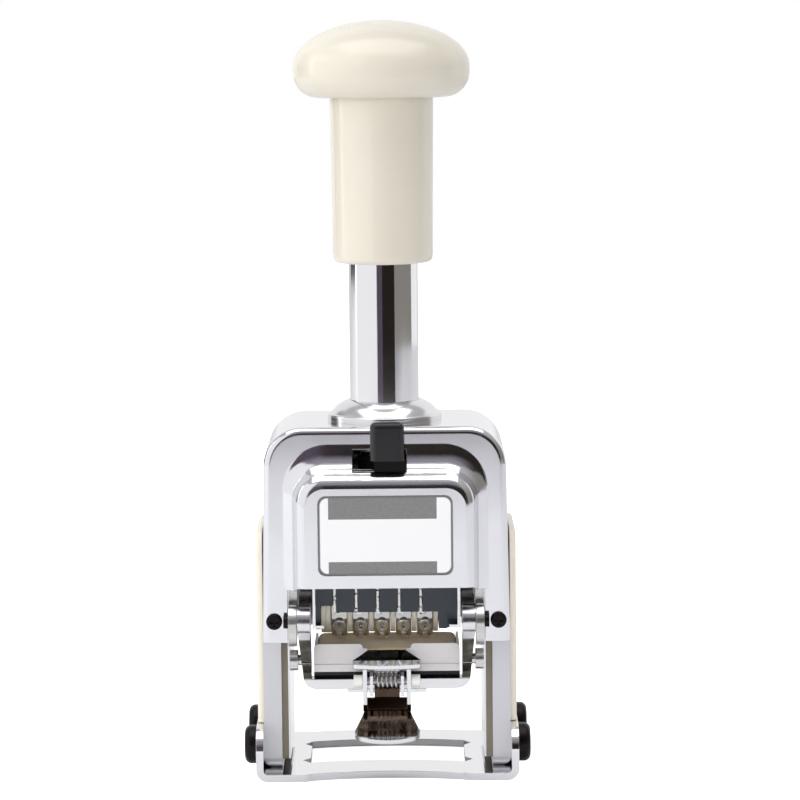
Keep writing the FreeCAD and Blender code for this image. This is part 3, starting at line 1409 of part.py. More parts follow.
def make_mode_lever():
    x = (-lever_left, lever_right)
    stem = box("mode_stem", x, (-lever_front, -lever_front + lever_thick), (lever_low, cap_low))
    shoe = box("mode_shoe", x, (-lever_front + lever_thick, -house_deep + house_wall - slide_gap),
               (lever_low, lever_low + lever_thick * 2))
    node("mode_lever", fuse("mode_lever", stem, shoe))
    cap = box("mode_cap_block", (-cap_left, cap_right), (-cap_front, -cap_rear), (cap_low, cap_top))

    def soft(edge):
        return not near(edge.BoundBox.ZMax, cap_low)

    node("mode_lever_cap", rounded("mode_lever_cap", cap, cap_round, soft))
    back = -house_deep + house_wall
    plate = box("mode_quadrant_plate", (-quadrant_half, quadrant_half), (back, back + quadrant_sheet),
                (quadrant_low, quadrant_top))
    node("mode_quadrant", plate)


ZERO = as_size(0)

make_base_plate()
make_foot_screws()
make_legs()
make_guides()
make_housing()
make_housing_screws()
make_label_plate()
make_rear_cover()
make_side_covers()
make_tube_and_collar()
make_handle()
make_return_spring()
make_yoke()
make_wheel_plates()
make_comb()
make_detent_comb()
make_wheels()
make_spacers()
make_feed_rocker()
make_pivot_brackets()
make_pad_frame()
make_pad_tray()
make_clip()
make_mode_lever()

DOC.recompute()
for thing in DOC.Objects:
    if "Invalid" in thing.State or "Error" in thing.State:
        raise ValueError("%s could not be made: %s" % (thing.Name, thing.State))
for thing in NODES:
    if thing.Shape.isNull() or not thing.Shape.isValid() or not thing.Shape.Solids:
        raise ValueError("%s has no valid solid" % thing.Label)

os.makedirs("parts", exist_ok=True)
for thing in NODES:
    thing.Shape.exportStep("parts/%s.step" % thing.Label)
print(len(NODES), "sub-parts written")
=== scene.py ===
# %% [markdown]
# # A hand numbering machine
# The machine is a chrome housing on a bent base plate. A plunger with an ivory knob carries
# five number wheels down to the paper, and an ink pad under them swings away in front.
# The rigid pieces come from the CAD model, which this script loads as a fixed frame. The
# script gives them finishes, models the pieces that need more than a CAD solid, and sets
# up the studio.

# %% Load the frame
import bpy
import math
from mathutils import Matrix, Vector


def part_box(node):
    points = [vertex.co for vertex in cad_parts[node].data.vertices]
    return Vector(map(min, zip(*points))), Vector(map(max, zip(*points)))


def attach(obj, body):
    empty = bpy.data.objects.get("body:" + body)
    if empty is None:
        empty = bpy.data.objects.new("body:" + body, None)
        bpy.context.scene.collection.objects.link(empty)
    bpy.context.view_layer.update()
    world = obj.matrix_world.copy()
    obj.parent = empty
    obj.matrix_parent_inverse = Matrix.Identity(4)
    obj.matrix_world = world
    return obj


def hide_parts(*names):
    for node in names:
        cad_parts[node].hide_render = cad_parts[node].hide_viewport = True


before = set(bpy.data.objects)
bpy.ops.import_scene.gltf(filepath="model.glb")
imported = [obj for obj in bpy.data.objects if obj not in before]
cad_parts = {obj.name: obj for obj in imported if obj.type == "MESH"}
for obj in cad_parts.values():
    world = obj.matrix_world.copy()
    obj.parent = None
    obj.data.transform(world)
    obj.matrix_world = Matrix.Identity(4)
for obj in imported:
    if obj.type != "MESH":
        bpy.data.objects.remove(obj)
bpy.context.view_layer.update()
bpy.ops.object.select_all(action="DESELECT")
MM = 0.001

# %% [markdown]
# ## The camera
# A long lens about 70 cm away flattens the machine, as in a product photograph. It looks
# down by about seven degrees, so that the top of the housing and the base plate show. The
# three directions of the camera are worked out first and then written as its matrix.

# %% Camera
LOOK_DOWN = math.radians(6.9)
ROLL = math.radians(-0.55)
AIM = Vector((3.4, 0, 80.35)) * MM
DISTANCE = 702 * MM

away = Vector((0, -math.cos(LOOK_DOWN), math.sin(LOOK_DOWN)))
level = Vector((1, 0, 0))
upright = away.cross(level)
right = math.cos(ROLL) * level + math.sin(ROLL) * upright
up = math.cos(ROLL) * upright - math.sin(ROLL) * level
camera_data = bpy.data.cameras.new("camera")
camera_data.sensor_width = 36
camera_data.lens = 144
camera_data.clip_start = 10 * MM
camera = bpy.data.objects.new("camera", camera_data)
turned = Matrix((right, up, away)).transposed().to_4x4()
camera.matrix_world = Matrix.Translation(AIM + away * DISTANCE) @ turned
bpy.context.collection.objects.link(camera)
bpy.context.scene.camera = camera
print("camera at", [round(c, 3) for c in camera.location])

# %% [markdown]
# ## The studio
# Polished chrome shows its surroundings more than itself, so the studio is built for what
# the metal mirrors: a white table that goes over to grey in front, a lit backdrop behind
# and a plain light room around. The camera sees the background pure white, and metal
# mirrors it a little darker.

# %% World and floor
scene = bpy.context.scene
scene.view_settings.view_transform = "Standard"


def linear(hex_text):
    """A colour written as sRGB hex, as the linear values that Blender's nodes take."""
    parts = [int(hex_text[i:i + 2], 16) / 255 for i in (1, 3, 5)]
    return tuple(c / 12.92 if c <= 0.04045 else ((c + 0.055) / 1.055) ** 2.4 for c in parts) + (1.0,)


def add(tree, kind, inputs=None, **settings):
    """Adds a node, with its settings, and with a value or a link for each named input."""
    node = tree.nodes.new(kind)
    for name, value in settings.items():
        setattr(node, name, value)
    for name, value in (inputs or {}).items():
        if isinstance(value, bpy.types.NodeSocket):
            tree.links.new(value, node.inputs[name])
        else:
            node.inputs[name].default_value = value
    return node


def object_place(tree):
    """The place on the piece itself, so that a pattern moves with it."""
    return add(tree, "ShaderNodeTexCoord").outputs["Object"]


def between(tree, factor, first, second):
    """A colour that goes from the first at 0 to the second at 1."""
    mixed = add(tree, "ShaderNodeMix", {"Factor": factor, "A": first, "B": second}, data_type="RGBA")
    return mixed.outputs[2]


def ramp(tree, value, low, high, first=0.0, second=1.0, smooth=False):
    """A number that goes from the first to the second while the value goes from low to high."""
    kind = "SMOOTHSTEP" if smooth else "LINEAR"
    return add(tree, "ShaderNodeMapRange", {"Value": value, "From Min": low, "From Max": high,
                                            "To Min": first, "To Max": second},
               interpolation_type=kind).outputs["Result"]


def maths(tree, operation, *values):
    """A sum, a product or another operation on numbers."""
    return add(tree, "ShaderNodeMath", dict(enumerate(values)), operation=operation).outputs[0]


def vector_maths(tree, operation, *values):
    """The same on vectors. The length of a vector is a number."""
    node = add(tree, "ShaderNodeVectorMath", dict(enumerate(values)), operation=operation)
    return node.outputs["Value" if operation == "LENGTH" else "Vector"]


def axes_of(tree, place):
    """The X, Y and Z of a place."""
    return add(tree, "ShaderNodeSeparateXYZ", {"Vector": place}).outputs


world = bpy.data.worlds.new("studio")
scene.world = world
world.use_nodes = True
sky = world.node_tree
sky.nodes.clear()
path = add(sky, "ShaderNodeLightPath")
seen = maths(sky, "MAXIMUM", path.outputs["Is Camera Ray"], path.outputs["Is Transmission Ray"])
room_light = add(sky, "ShaderNodeBackground", {"Color": linear("#F2F3F5"), "Strength": 0.55})
white_back = add(sky, "ShaderNodeBackground", {"Color": (1, 1, 1, 1), "Strength": 1.0})
mixed = add(sky, "ShaderNodeMixShader", {0: seen, 1: room_light.outputs[0], 2: white_back.outputs[0]})
add(sky, "ShaderNodeOutputWorld", {"Surface": mixed.outputs[0]})


def finish(name):
    """An empty material with its output and one Principled shader."""
    made = bpy.data.materials.new(name)
    made.use_nodes = True
    tree = made.node_tree
    tree.nodes.clear()
    shader = add(tree, "ShaderNodeBsdfPrincipled")
    add(tree, "ShaderNodeOutputMaterial", {"Surface": shader.outputs[0]})
    return made, tree, shader


# Matt white table paper: it scatters nearly all the light, and the camera sees it pure white.
# It goes over to grey in front, below the camera, where only the metal mirrors it: painted shade on the far
# table.
table_paper, tree, shader = finish("white_table_paper")
GREY_FROM, WHITE_FROM = -0.62, -0.33
depth = ramp(tree, axes_of(tree, object_place(tree))["Y"], GREY_FROM, WHITE_FROM)
tone = between(tree, depth, linear("#AEADB1"), linear("#EAEAEC"))
tree.links.new(tone, shader.inputs["Base Color"])
shader.inputs["Roughness"].default_value = 0.8
path = add(tree, "ShaderNodeLightPath")
glow = add(tree, "ShaderNodeEmission", {"Color": (1, 1, 1, 1), "Strength": 0.8})
both = add(tree, "ShaderNodeAddShader", {0: shader.outputs[0], 1: glow.outputs[0]})
picked = add(tree, "ShaderNodeMixShader",
             {0: path.outputs["Is Camera Ray"], 1: shader.outputs[0], 2: both.outputs[0]})
tree.links.new(picked.outputs[0], tree.nodes["Material Output"].inputs["Surface"])

FLOOR_SIZE, FLOOR_MIDDLE = 6, (0, 1.2, 0)
bpy.ops.mesh.primitive_plane_add(size=FLOOR_SIZE, location=FLOOR_MIDDLE)
floor = bpy.context.object
floor.name = "floor"
floor.data.materials.append(table_paper)
bpy.ops.object.transform_apply(location=True)

# White paper backdrop, lit from behind: flat metal that faces up mirrors it as a pale, even tone.
backdrop_paper, tree, shader = finish("lit_white_backdrop")
path = add(tree, "ShaderNodeLightPath")
power = ramp(tree, path.outputs["Is Camera Ray"], 0.0, 1.0, 0.95, 1.0)
glow = add(tree, "ShaderNodeEmission", {"Color": (1, 1, 1, 1), "Strength": power})
tree.links.new(glow.outputs[0], tree.nodes["Material Output"].inputs["Surface"])
BACKDROP_WIDE, BACKDROP_TALL, BACKDROP_MIDDLE = 7.0, 1.9, (0, 1.5, 0.8)
bpy.ops.mesh.primitive_plane_add(size=1, location=BACKDROP_MIDDLE, rotation=(math.radians(90), 0, 0))
backdrop = bpy.context.object
backdrop.name = "backdrop"
backdrop.scale = (BACKDROP_WIDE, BACKDROP_TALL, 1.0)
bpy.ops.object.transform_apply(location=True, rotation=True, scale=True)
backdrop.data.materials.append(backdrop_paper)
print("world, floor and backdrop ready")

# %% [markdown]
# ## Lamps and cards
# A chrome tube is a map of the room: its middle mirrors what is straight ahead, and its
# edges what is at the sides. The real tube is white left of the middle, black just right of
# it, grey beyond and bright at its right edge. So a large softbox and a white wall stand at
# the left, a dark screen in front, which fades upwards, and a grey wall at the right. The
# cards are seen by reflections only.

# %% Lamps and cards


def around(turn, distance, height):
    """A place at so many degrees from straight ahead, towards the right when positive."""
    return Vector((math.sin(math.radians(turn)) * distance, -math.cos(math.radians(turn)) * distance, height))


def softbox(name, place, aim, size, power):
    """A rectangular lamp that faces a point, as a softbox does."""
    lamp_data = bpy.data.lights.new(name, "AREA")
    lamp_data.shape = "RECTANGLE"
    lamp_data.size, lamp_data.size_y = size
    lamp_data.energy = power
    lamp = bpy.data.objects.new(name, lamp_data)
    lamp.location = place
    lamp.rotation_euler = (Vector(aim) - Vector(place)).to_track_quat("-Z", "Y").to_euler()
    bpy.context.collection.objects.link(lamp)


# Each lamp's place, the point that it faces, its width and height in metres, and its watts.
softbox("softbox_top", (0, -0.1, 1.1), (0, 0, 0.05), (1.2, 0.9), 6.0)
softbox("softbox_left", around(-76, 1.05, 0.38), (0, 0, 0.08), (1.3, 0.9), 7.5)

# A low lamp fills the shade under the housing. Bare metal doesn't mirror it.
softbox("fill_low", (0.0, -0.95, 0.24), (0, 0, 0.03), (0.5, 0.2), 2.4)
bpy.data.objects["fill_low"].visible_glossy = False


def card_finish(name, low_colour, high_colour, low, high):
    """A card in even light, with one tone at its foot that goes over to another higher up."""
    made, tree, shader = finish(name)
    rise = ramp(tree, axes_of(tree, object_place(tree))["Z"], low, high, smooth=True)
    tone = between(tree, rise, linear(low_colour), linear(high_colour))
    glow = add(tree, "ShaderNodeEmission", {"Color": tone})
    tree.links.new(glow.outputs[0], tree.nodes["Material Output"].inputs["Surface"])
    return made


def cards(name, material, start, end, distance, height, pieces):
    """Upright cards in an arc round the machine, from a turn to another one."""
    rise = Vector((0, 0, height))
    step = (end - start) / pieces
    for n in range(pieces):
        left, right = around(start + step * n, distance, 0), around(start + step * (n + 1), distance, 0)
        flat_card("%s_%d" % (name, n + 1), (left, right, right + rise, left + rise), material)


def flat_card(name, corners, material):
    """One flat card through its corners, which only reflections know."""
    bpy.ops.mesh.primitive_plane_add(size=1)
    made = bpy.context.object
    made.name = name
    for vertex, place in zip(made.data.vertices, (corners[0], corners[1], corners[3], corners[2])):
        vertex.co = place
    made.data.materials.append(material)
    made.visible_camera = False
    made.visible_diffuse = False
    made.visible_shadow = False


# The screens in front stand nearest. Turns are in degrees, distances and heights in metres.
SCREEN_AWAY, SCREEN_TALL = 0.62, 0.75
SCREEN_FADE = (0.20, 0.52)
WALL_AWAY = 0.64
FAR_AWAY, FAR_TALL = 0.9, 0.95
SIDE_AWAY = 1.3
violet_dusk = card_finish("violet_flock_screen", "#564B58", "#96929A", *SCREEN_FADE)
dusk = card_finish("dark_flock_screen", "#27221F", "#96929A", *SCREEN_FADE)
lit_wall = card_finish("lit_white_wall", "#FDFDFE", "#FFFFFF", 0.0, 0.9)
grey_wall = card_finish("grey_flock_wall", "#8B8781", "#B4B2B2", 0.1, 0.9)
grey_side = card_finish("grey_flock_side", "#3A373C", "#A9A8AB", 0.1, 0.9)
cards("violet_screen", violet_dusk, -22, -4, SCREEN_AWAY, SCREEN_TALL, pieces=2)
cards("dark_screen", dusk, -4, 37, SCREEN_AWAY, SCREEN_TALL, pieces=4)
cards("white_wall", lit_wall, -100, -22, WALL_AWAY, SCREEN_TALL, pieces=6)
cards("grey_wall", grey_wall, 37, 106, FAR_AWAY, FAR_TALL, pieces=5)
cards("white_wall_right", lit_wall, 106, 150, FAR_AWAY, SCREEN_TALL, pieces=3)
cards("grey_side", grey_side, -106, -138, SIDE_AWAY, FAR_TALL, pieces=2)
print("lamps and cards ready")

# %% [markdown]
# ## Finishes
# Each finish starts from the real one. A pattern's scale comes from a real size in
# millimetres: Blender's noise repeats about once per unit, so a size of s metres is a
# scale of 1/s.

# %% Metal finishes


def per(size_mm):
    """The pattern scale for a grain of this size in millimetres."""
    return 1 / (size_mm * MM)


SMUDGE_MM = 14
METAL_EDGE = 0.18 * MM


def polished(name, colour, rough, smudge, wave_mm=9.0, wave_depth=0.02, metallic=1.0):
    """Plated and buffed metal: a mirror with faint smudges, slight waves and buffed, round edges."""
    made, tree, shader = finish(name)
    place = object_place(tree)
    cloud = add(tree, "ShaderNodeTexNoise", {"Vector": place, "Scale": per(SMUDGE_MM), "Detail": 5.0})
    gloss = ramp(tree, cloud.outputs["Fac"], 0.3, 0.75, rough, rough + smudge)
    wave = add(tree, "ShaderNodeTexNoise", {"Vector": place, "Scale": per(wave_mm), "Detail": 1.0})
    edge = add(tree, "ShaderNodeBevel", {"Radius": METAL_EDGE}, samples=4)
    bump = add(tree, "ShaderNodeBump", {"Height": wave.outputs["Fac"], "Strength": wave_depth,
                                        "Distance": 0.4 * MM, "Normal": edge.outputs["Normal"]})
    shader.inputs["Base Color"].default_value = linear(colour)
    shader.inputs["Metallic"].default_value = metallic
    tree.links.new(gloss, shader.inputs["Roughness"])
    tree.links.new(bump.outputs["Normal"], shader.inputs["Normal"])
    return made


def brushed(name, colour, rough, along, grain_mm=0.25, metallic=1.0):
    """Metal with fine parallel scratches, stretched along one direction."""
    made, tree, shader = finish(name)
    stretch = {"x": (0.05, 1, 1), "y": (1, 0.05, 1), "z": (1, 1, 0.05)}[along]
    lines = add(tree, "ShaderNodeMapping", {"Vector": object_place(tree), "Scale": stretch})
    grain = add(tree, "ShaderNodeTexNoise", {"Vector": lines.outputs["Vector"], "Scale": per(grain_mm),
                                             "Detail": 3.0})
    gloss = ramp(tree, grain.outputs["Fac"], 0.0, 1.0, rough - 0.07, rough + 0.1)
    bump = add(tree, "ShaderNodeBump", {"Height": grain.outputs["Fac"], "Strength": 0.12,
                                        "Distance": 0.02 * MM})
    shader.inputs["Base Color"].default_value = linear(colour)
    shader.inputs["Metallic"].default_value = metallic
    tree.links.new(gloss, shader.inputs["Roughness"])
    tree.links.new(bump.outputs["Normal"], shader.inputs["Normal"])
    return made


def film(made, colour, soft_mm, patchy, **spans):
    """Painted shade: a darker tone, only where the place lies within the spans, in millimetres.
    It covers at least the share that patchy says, and in patches all of the metal."""
    tree = made.node_tree
    place = object_place(tree)
    axes = axes_of(tree, place)
    patch = add(tree, "ShaderNodeTexNoise", {"Vector": place, "Scale": per(2.5), "Detail": 4.0})
    cover = ramp(tree, patch.outputs["Fac"], 0.25, 0.6, patchy, 1.0)
    for axis, (low, high) in spans.items():
        for edge, way in ((low, -1), (high, 1)):
            side = ramp(tree, axes[axis], edge * MM, (edge + way * soft_mm) * MM, 1.0, 0.0, smooth=True)
            cover = maths(tree, "MULTIPLY", cover, side)
    socket = tree.nodes["Principled BSDF"].inputs["Base Color"]
    before = socket.links[0].from_socket if socket.links else tuple(socket.default_value)
    tree.links.new(between(tree, cover, before, linear(colour)), socket)


def inked_ground(made, axle_z, ground, bare):
    """Old ink and painted crevice shade on the ground between a wheel's digits, whose faces the paper keeps
    bright.
    """
    tree = made.node_tree
    arm = vector_maths(tree, "SUBTRACT", object_place(tree), (0, 0, axle_z))
    reach = vector_maths(tree, "LENGTH", vector_maths(tree, "MULTIPLY", arm, (0, 1, 1)))
    tone = between(tree, ramp(tree, reach, ground, bare, smooth=True), linear("#C6C4C0"), linear("#F6F6F8"))
    tree.links.new(tone, tree.nodes["Principled BSDF"].inputs["Base Color"])


# Chrome plate: a mirror on the guides, duller over pressed sheet, and waved by the lathe's marks.
chrome = polished("chrome_plate", "#E9E9EB", 0.04, 0.05)
pressed_chrome = polished("chrome_on_pressed_sheet", "#E6E6EA", 0.10, 0.06)
turned_chrome = polished("chrome_on_turned_brass", "#E2E2E5", 0.16, 0.05, wave_mm=7.0, wave_depth=0.12)
# Nickel plate: bright on the small castings, worn by the paper on the type wheels.
shiny_steel = polished("bright_nickel_plate", "#DCDBD8", 0.24, 0.08, wave_mm=3.0, wave_depth=0.10)
type_metal = polished("worn_type_nickel", "#DADADC", 0.10, 0.08, wave_mm=1.6, wave_depth=0.25, metallic=0.9)
low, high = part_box("number_wheel_1")
TYPE_R = (high[2] - low[2]) / 2
AXLE_Z = (low[2] + high[2]) / 2
# Darker ground between the digits: partly old ink, partly painted shade in the crevices.
inked_ground(type_metal, AXLE_Z, TYPE_R - 0.55 * MM, TYPE_R - 0.25 * MM)
# Chrome with painted shade: brown on the clip's blade and web, grey on the pad frame.
clip_chrome = polished("chrome_on_clip", "#E9E9EB", 0.05, 0.05)
# Painted shade: brown on the blade's inside, darker on the web behind the spring.
film(clip_chrome, "#7A6C5E", 0.5, 0.97, X=(-6.3, 6.3), Y=(-21.3, -10), Z=(5, 14.6))
film(clip_chrome, "#4A3A2E", 0.3, 0.97, X=(-4.2, 4.2), Y=(-21.3, -10), Z=(13.5, 19.5))
frame_chrome = polished("chrome_on_pad_frame", "#E9E9EB", 0.16, 0.08, wave_mm=3.0, wave_depth=0.12)
# Painted shade on the pad frame's arms, which lie in shade and mirror dark.
film(frame_chrome, "#4E4A42", 0.6, 0.88, Z=(21.2, 30.6))
# Satin nickel, steel and tinned sheet: fine grain, and less of a mirror. A painted shadow darkens the tray's
# underside.
satin_leg = brushed("satin_nickel_casting", "#D2D2D6", 0.36, "z", grain_mm=0.4, metallic=0.55)
satin_steel = brushed("satin_steel_sheet", "#C9C6C6", 0.38, "x")
satin_tin = brushed("satin_tinned_sheet", "#E6E3E3", 0.40, "x", metallic=0.6)
# Painted shadow under the tray, above the frame bar.
film(satin_tin, "#26272B", 0.1, 0.985, Z=(10, 22.3))
# Steel without plate: hard drawn wire, bent strip, heat-blued bars and black oxide screws.
spring_wire = polished("spring_steel_wire", "#CFCDCA", 0.16, 0.08)
finger_steel = polished("bent_spring_strip", "#DAD8D5", 0.10, 0.06, wave_mm=1.3, wave_depth=0.5)
blued = brushed("blued_steel", "#505459", 0.34, "x")
black_oxide = brushed("black_oxide_steel", "#2A2728", 0.34, "y", grain_mm=0.5)
print("metal finishes ready")

# %% Plastic, enamel and felt
PLASTIC_EDGE = 0.3 * MM


def moulded(name, colour, rough, grain_mm, grain_depth, mottle):
    """Moulded plastic: an even colour with a faint mottle and the grain of its mould."""
    made, tree, shader = finish(name)
    place = object_place(tree)
    cloud = add(tree, "ShaderNodeTexNoise", {"Vector": place, "Scale": per(11), "Detail": 4.0})
    tone = between(tree, cloud.outputs["Fac"], linear(colour), linear(mottle))
    grain = add(tree, "ShaderNodeTexNoise", {"Vector": place, "Scale": per(grain_mm), "Detail": 2.0})
    edge = add(tree, "ShaderNodeBevel", {"Radius": PLASTIC_EDGE}, samples=4)
    bump = add(tree, "ShaderNodeBump", {"Height": grain.outputs["Fac"], "Strength": grain_depth,
                                        "Distance": 0.05 * MM, "Normal": edge.outputs["Normal"]})
    gloss = ramp(tree, cloud.outputs["Fac"], 0.0, 1.0, rough - 0.03, rough + 0.06)
    tree.links.new(tone, shader.inputs["Base Color"])
    tree.links.new(gloss, shader.inputs["Roughness"])
    tree.links.new(bump.outputs["Normal"], shader.inputs["Normal"])
    return made


# ABS for the covers, the rings and the handle, nylon for the liners and the bushes, and rubber.
black_abs = moulded("black_abs_plastic", "#171618", 0.20, 0.5, 0.06, "#1E1D1F")
ivory_abs = moulded("ivory_abs_plastic", "#EAE3D4", 0.34, 0.7, 0.10, "#E3DBCA")
# The liners' nylon is painted dark grey-brown: painted shade of the deep gap beside the legs.
shaded_liner_nylon = moulded("grey_nylon_with_painted_shade", "#857C6C", 0.45, 0.7, 0.15, "#6F675A")
gloss_ivory = moulded("polished_ivory_abs", "#DCD6C8", 0.12, 1.5, 0.02, "#D8D1C1")
white_nylon = moulded("white_nylon", "#F1F0EC", 0.38, 0.6, 0.08, "#E9E8E2")
rubber = moulded("black_nitrile_rubber", "#1C1C1C", 0.75, 0.3, 0.4, "#242424")

# Enamelled label: white enamel with two grey printed bands, which are a little speckled, and
# with painted shade along its rim, which has round corners. Millimetres, as heights and half widths.
LABEL_BANDS = ((44.9, 48.1), (57.3, 62.6))
BAND_MIDDLE, BAND_HALF = -0.6, 11.6
LABEL_ROUND = 2.0
RIM_SHADE_FROM, RIM_SHADE_FULL = 1.52, 1.68
label_enamel, tree, shader = finish("white_enamel_with_grey_bands")
place = object_place(tree)
axes = axes_of(tree, place)
band = 0.0
for low, high in LABEL_BANDS:
    inside = maths(tree, "COMPARE", axes["Z"], (low + high) / 2 * MM, (high - low) / 2 * MM)
    band = maths(tree, "MAXIMUM", band, inside)
wide = maths(tree, "COMPARE", axes["X"], BAND_MIDDLE * MM, BAND_HALF * MM)
band = maths(tree, "MULTIPLY", band, wide)
speck = add(tree, "ShaderNodeTexNoise", {"Vector": place, "Scale": per(0.35), "Detail": 2.0})
grey = between(tree, speck.outputs["Fac"], linear("#6C6B6A"), linear("#8A8988"))
face = between(tree, band, linear("#ECECEC"), grey)
low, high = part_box("label_plate")
straight = (high[0] - LABEL_ROUND * MM, 0, (high[2] - low[2]) / 2 - LABEL_ROUND * MM)
offset = vector_maths(tree, "SUBTRACT", place, (0, 0, (low[2] + high[2]) / 2))
offset = vector_maths(tree, "ABSOLUTE", vector_maths(tree, "MULTIPLY", offset, (1, 0, 1)))
past = vector_maths(tree, "MAXIMUM", vector_maths(tree, "SUBTRACT", offset, straight), (0, 0, 0))
# Painted shade of the recess along the label's rim.
rim = ramp(tree, vector_maths(tree, "LENGTH", past), RIM_SHADE_FROM * MM, RIM_SHADE_FULL * MM)
tree.links.new(between(tree, rim, face, linear("#6E6C6E")), shader.inputs["Base Color"])
shader.inputs["Roughness"].default_value = 0.3

# Felt: matted wool, tan from old ink, and darker where it has soaked in more.
# Its colours are painted lighter than the felt's own: painted light for the shade under the wheels.
wool_felt, tree, shader = finish("inked_wool_felt")
place = object_place(tree)
cloud = add(tree, "ShaderNodeTexNoise", {"Vector": place, "Scale": per(6), "Detail": 6.0})
fibre = add(tree, "ShaderNodeTexNoise", {"Vector": place, "Scale": per(0.3), "Detail": 4.0})
tone = between(tree, cloud.outputs["Fac"], linear("#D2B684"), linear("#F6E2B6"))
bump = add(tree, "ShaderNodeBump", {"Height": fibre.outputs["Fac"], "Strength": 0.9, "Distance": 0.15 * MM})
tree.links.new(tone, shader.inputs["Base Color"])
tree.links.new(bump.outputs["Normal"], shader.inputs["Normal"])
shader.inputs["Roughness"].default_value = 0.95
shader.inputs["Sheen Weight"].default_value = 0.3
print("plastic, enamel and felt ready")

# %% [markdown]
# ## The ink pad
# The pad is a block of thick wool felt, pressed into a tin tray and soaked with ink. Its top
# edges are soft, and the wheels have dented it in a row. A cube gets its upper rim bevelled
# and is cut into a fine grid, the dents are pressed in, and the whole is smoothed.

# %% Ink pad


def pick(piece, wanted):
    """In edit mode, selects the vertices of a piece whose place passes a test."""
    bpy.ops.object.mode_set(mode="OBJECT")
    for part in (piece.data.polygons, piece.data.edges):
        for item in part:
            item.select = False
    for vertex in piece.data.vertices:
        vertex.select = wanted(vertex.co)
    bpy.ops.object.mode_set(mode="EDIT")


low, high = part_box("ink_pad")
low, high = Vector(low), Vector(high)
# The felt stays this far inside the solid that it replaces.
GAP = 0.05 * MM
RIM_ROUND = 0.9 * MM
DENT_WIDE, DENT_LONG, DENT_DEEP = 1.2 * MM, 1.6 * MM, 0.35 * MM
bpy.ops.object.select_all(action="DESELECT")
bpy.ops.mesh.primitive_cube_add(size=1, location=(low + high) / 2)
felt_pad = bpy.context.object
felt_pad.name = "felt_pad"
felt_pad.scale = high - low - Vector((GAP, GAP, GAP)) * 2
bpy.ops.object.transform_apply(location=True, rotation=True, scale=True)
bpy.ops.object.mode_set(mode="EDIT")
bpy.ops.mesh.select_mode(type="VERT")
top = high.z - GAP
pick(felt_pad, lambda co: co.z > top - GAP)
bpy.ops.mesh.bevel(offset=RIM_ROUND, segments=3, affect="EDGES")
bpy.ops.mesh.select_all(action="SELECT")
bpy.ops.mesh.subdivide(number_cuts=12)
for number in range(1, 6):
    a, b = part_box("number_wheel_%d" % number)
    middle = (a[0] + b[0]) / 2
    pick(felt_pad, lambda co: co.z > top - GAP and abs(co.x - middle) < DENT_WIDE and abs(co.y) < DENT_LONG)
    bpy.ops.transform.translate(value=(0, 0, -DENT_DEEP))
bpy.ops.mesh.select_all(action="SELECT")
bpy.ops.mesh.vertices_smooth(factor=0.5, repeat=2)
bpy.ops.object.mode_set(mode="OBJECT")
bpy.ops.object.shade_smooth()
felt_pad.data.materials.append(wool_felt)
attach(felt_pad, "pad")
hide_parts("ink_pad")
print("felt pad:", len(felt_pad.data.polygons), "faces")

# %% [markdown]
# ## The number wheels
# Each wheel is a twelve-sided type wheel with ten raised digits and two blank faces. The type
# is mirrored, so that the print reads the right way, and its edges are rounded by polishing.
# One wheel is made: a twelve-sided cylinder with bevelled edges and a sunken ring in each
# side, and ten text objects with their own thickness and bevel, turned into meshes and set
# round it. Four copies follow, each with its own mesh.

# %% Number wheels
FACES = 12
DIGITS = 10
# The first digit looks forward and down from the axle.
FIRST_TURN = math.radians(120)
low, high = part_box("number_wheel_1")
WHEEL_WIDE = high[0] - low[0]
RELIEF = 0.85 * MM
ROUND = 0.24 * MM
TYPE_TALL, TYPE_STRETCH, TYPE_THINNED = 4.3 * MM, 1.2, 0.02 * MM
WELD = 0.005 * MM
SHARP_FROM = math.radians(35)
BLANK_EDGE = 0.16 * MM
SIDE_RIM, SIDE_RING, SIDE_DEEP = 1.1 * MM, 1.3 * MM, 0.12 * MM
FLAT_R = TYPE_R - RELIEF


def wheel_blank(middle):
    """The body of a type wheel, lying along X round the axle."""
    bpy.ops.object.select_all(action="DESELECT")
    corner = FLAT_R / math.cos(math.pi / FACES)
    bpy.ops.mesh.primitive_cylinder_add(vertices=FACES, radius=corner, depth=WHEEL_WIDE, end_fill_type="NGON",
                                        rotation=(0, 0, math.pi / FACES))
    body = bpy.context.object
    bpy.ops.object.transform_apply(location=True, rotation=True, scale=True)
    body.location = (middle, 0, AXLE_Z)
    body.rotation_euler = (0, math.radians(90), 0)
    bpy.ops.object.transform_apply(location=True, rotation=True, scale=True)
    bpy.ops.object.mode_set(mode="EDIT")
    bpy.ops.mesh.select_mode(type="EDGE")
    bpy.ops.mesh.select_all(action="SELECT")
    bpy.ops.mesh.bevel(offset=BLANK_EDGE, segments=3, affect="EDGES")
    bpy.ops.mesh.select_mode(type="FACE")
    bpy.ops.object.mode_set(mode="OBJECT")
    for face in body.data.polygons:
        face.select = len(face.vertices) == FACES
    bpy.ops.object.mode_set(mode="EDIT")
    bpy.ops.mesh.inset(thickness=SIDE_RIM, depth=-SIDE_DEEP)
    bpy.ops.mesh.inset(thickness=SIDE_RING, depth=SIDE_DEEP)
    bpy.ops.object.mode_set(mode="OBJECT")
    return body


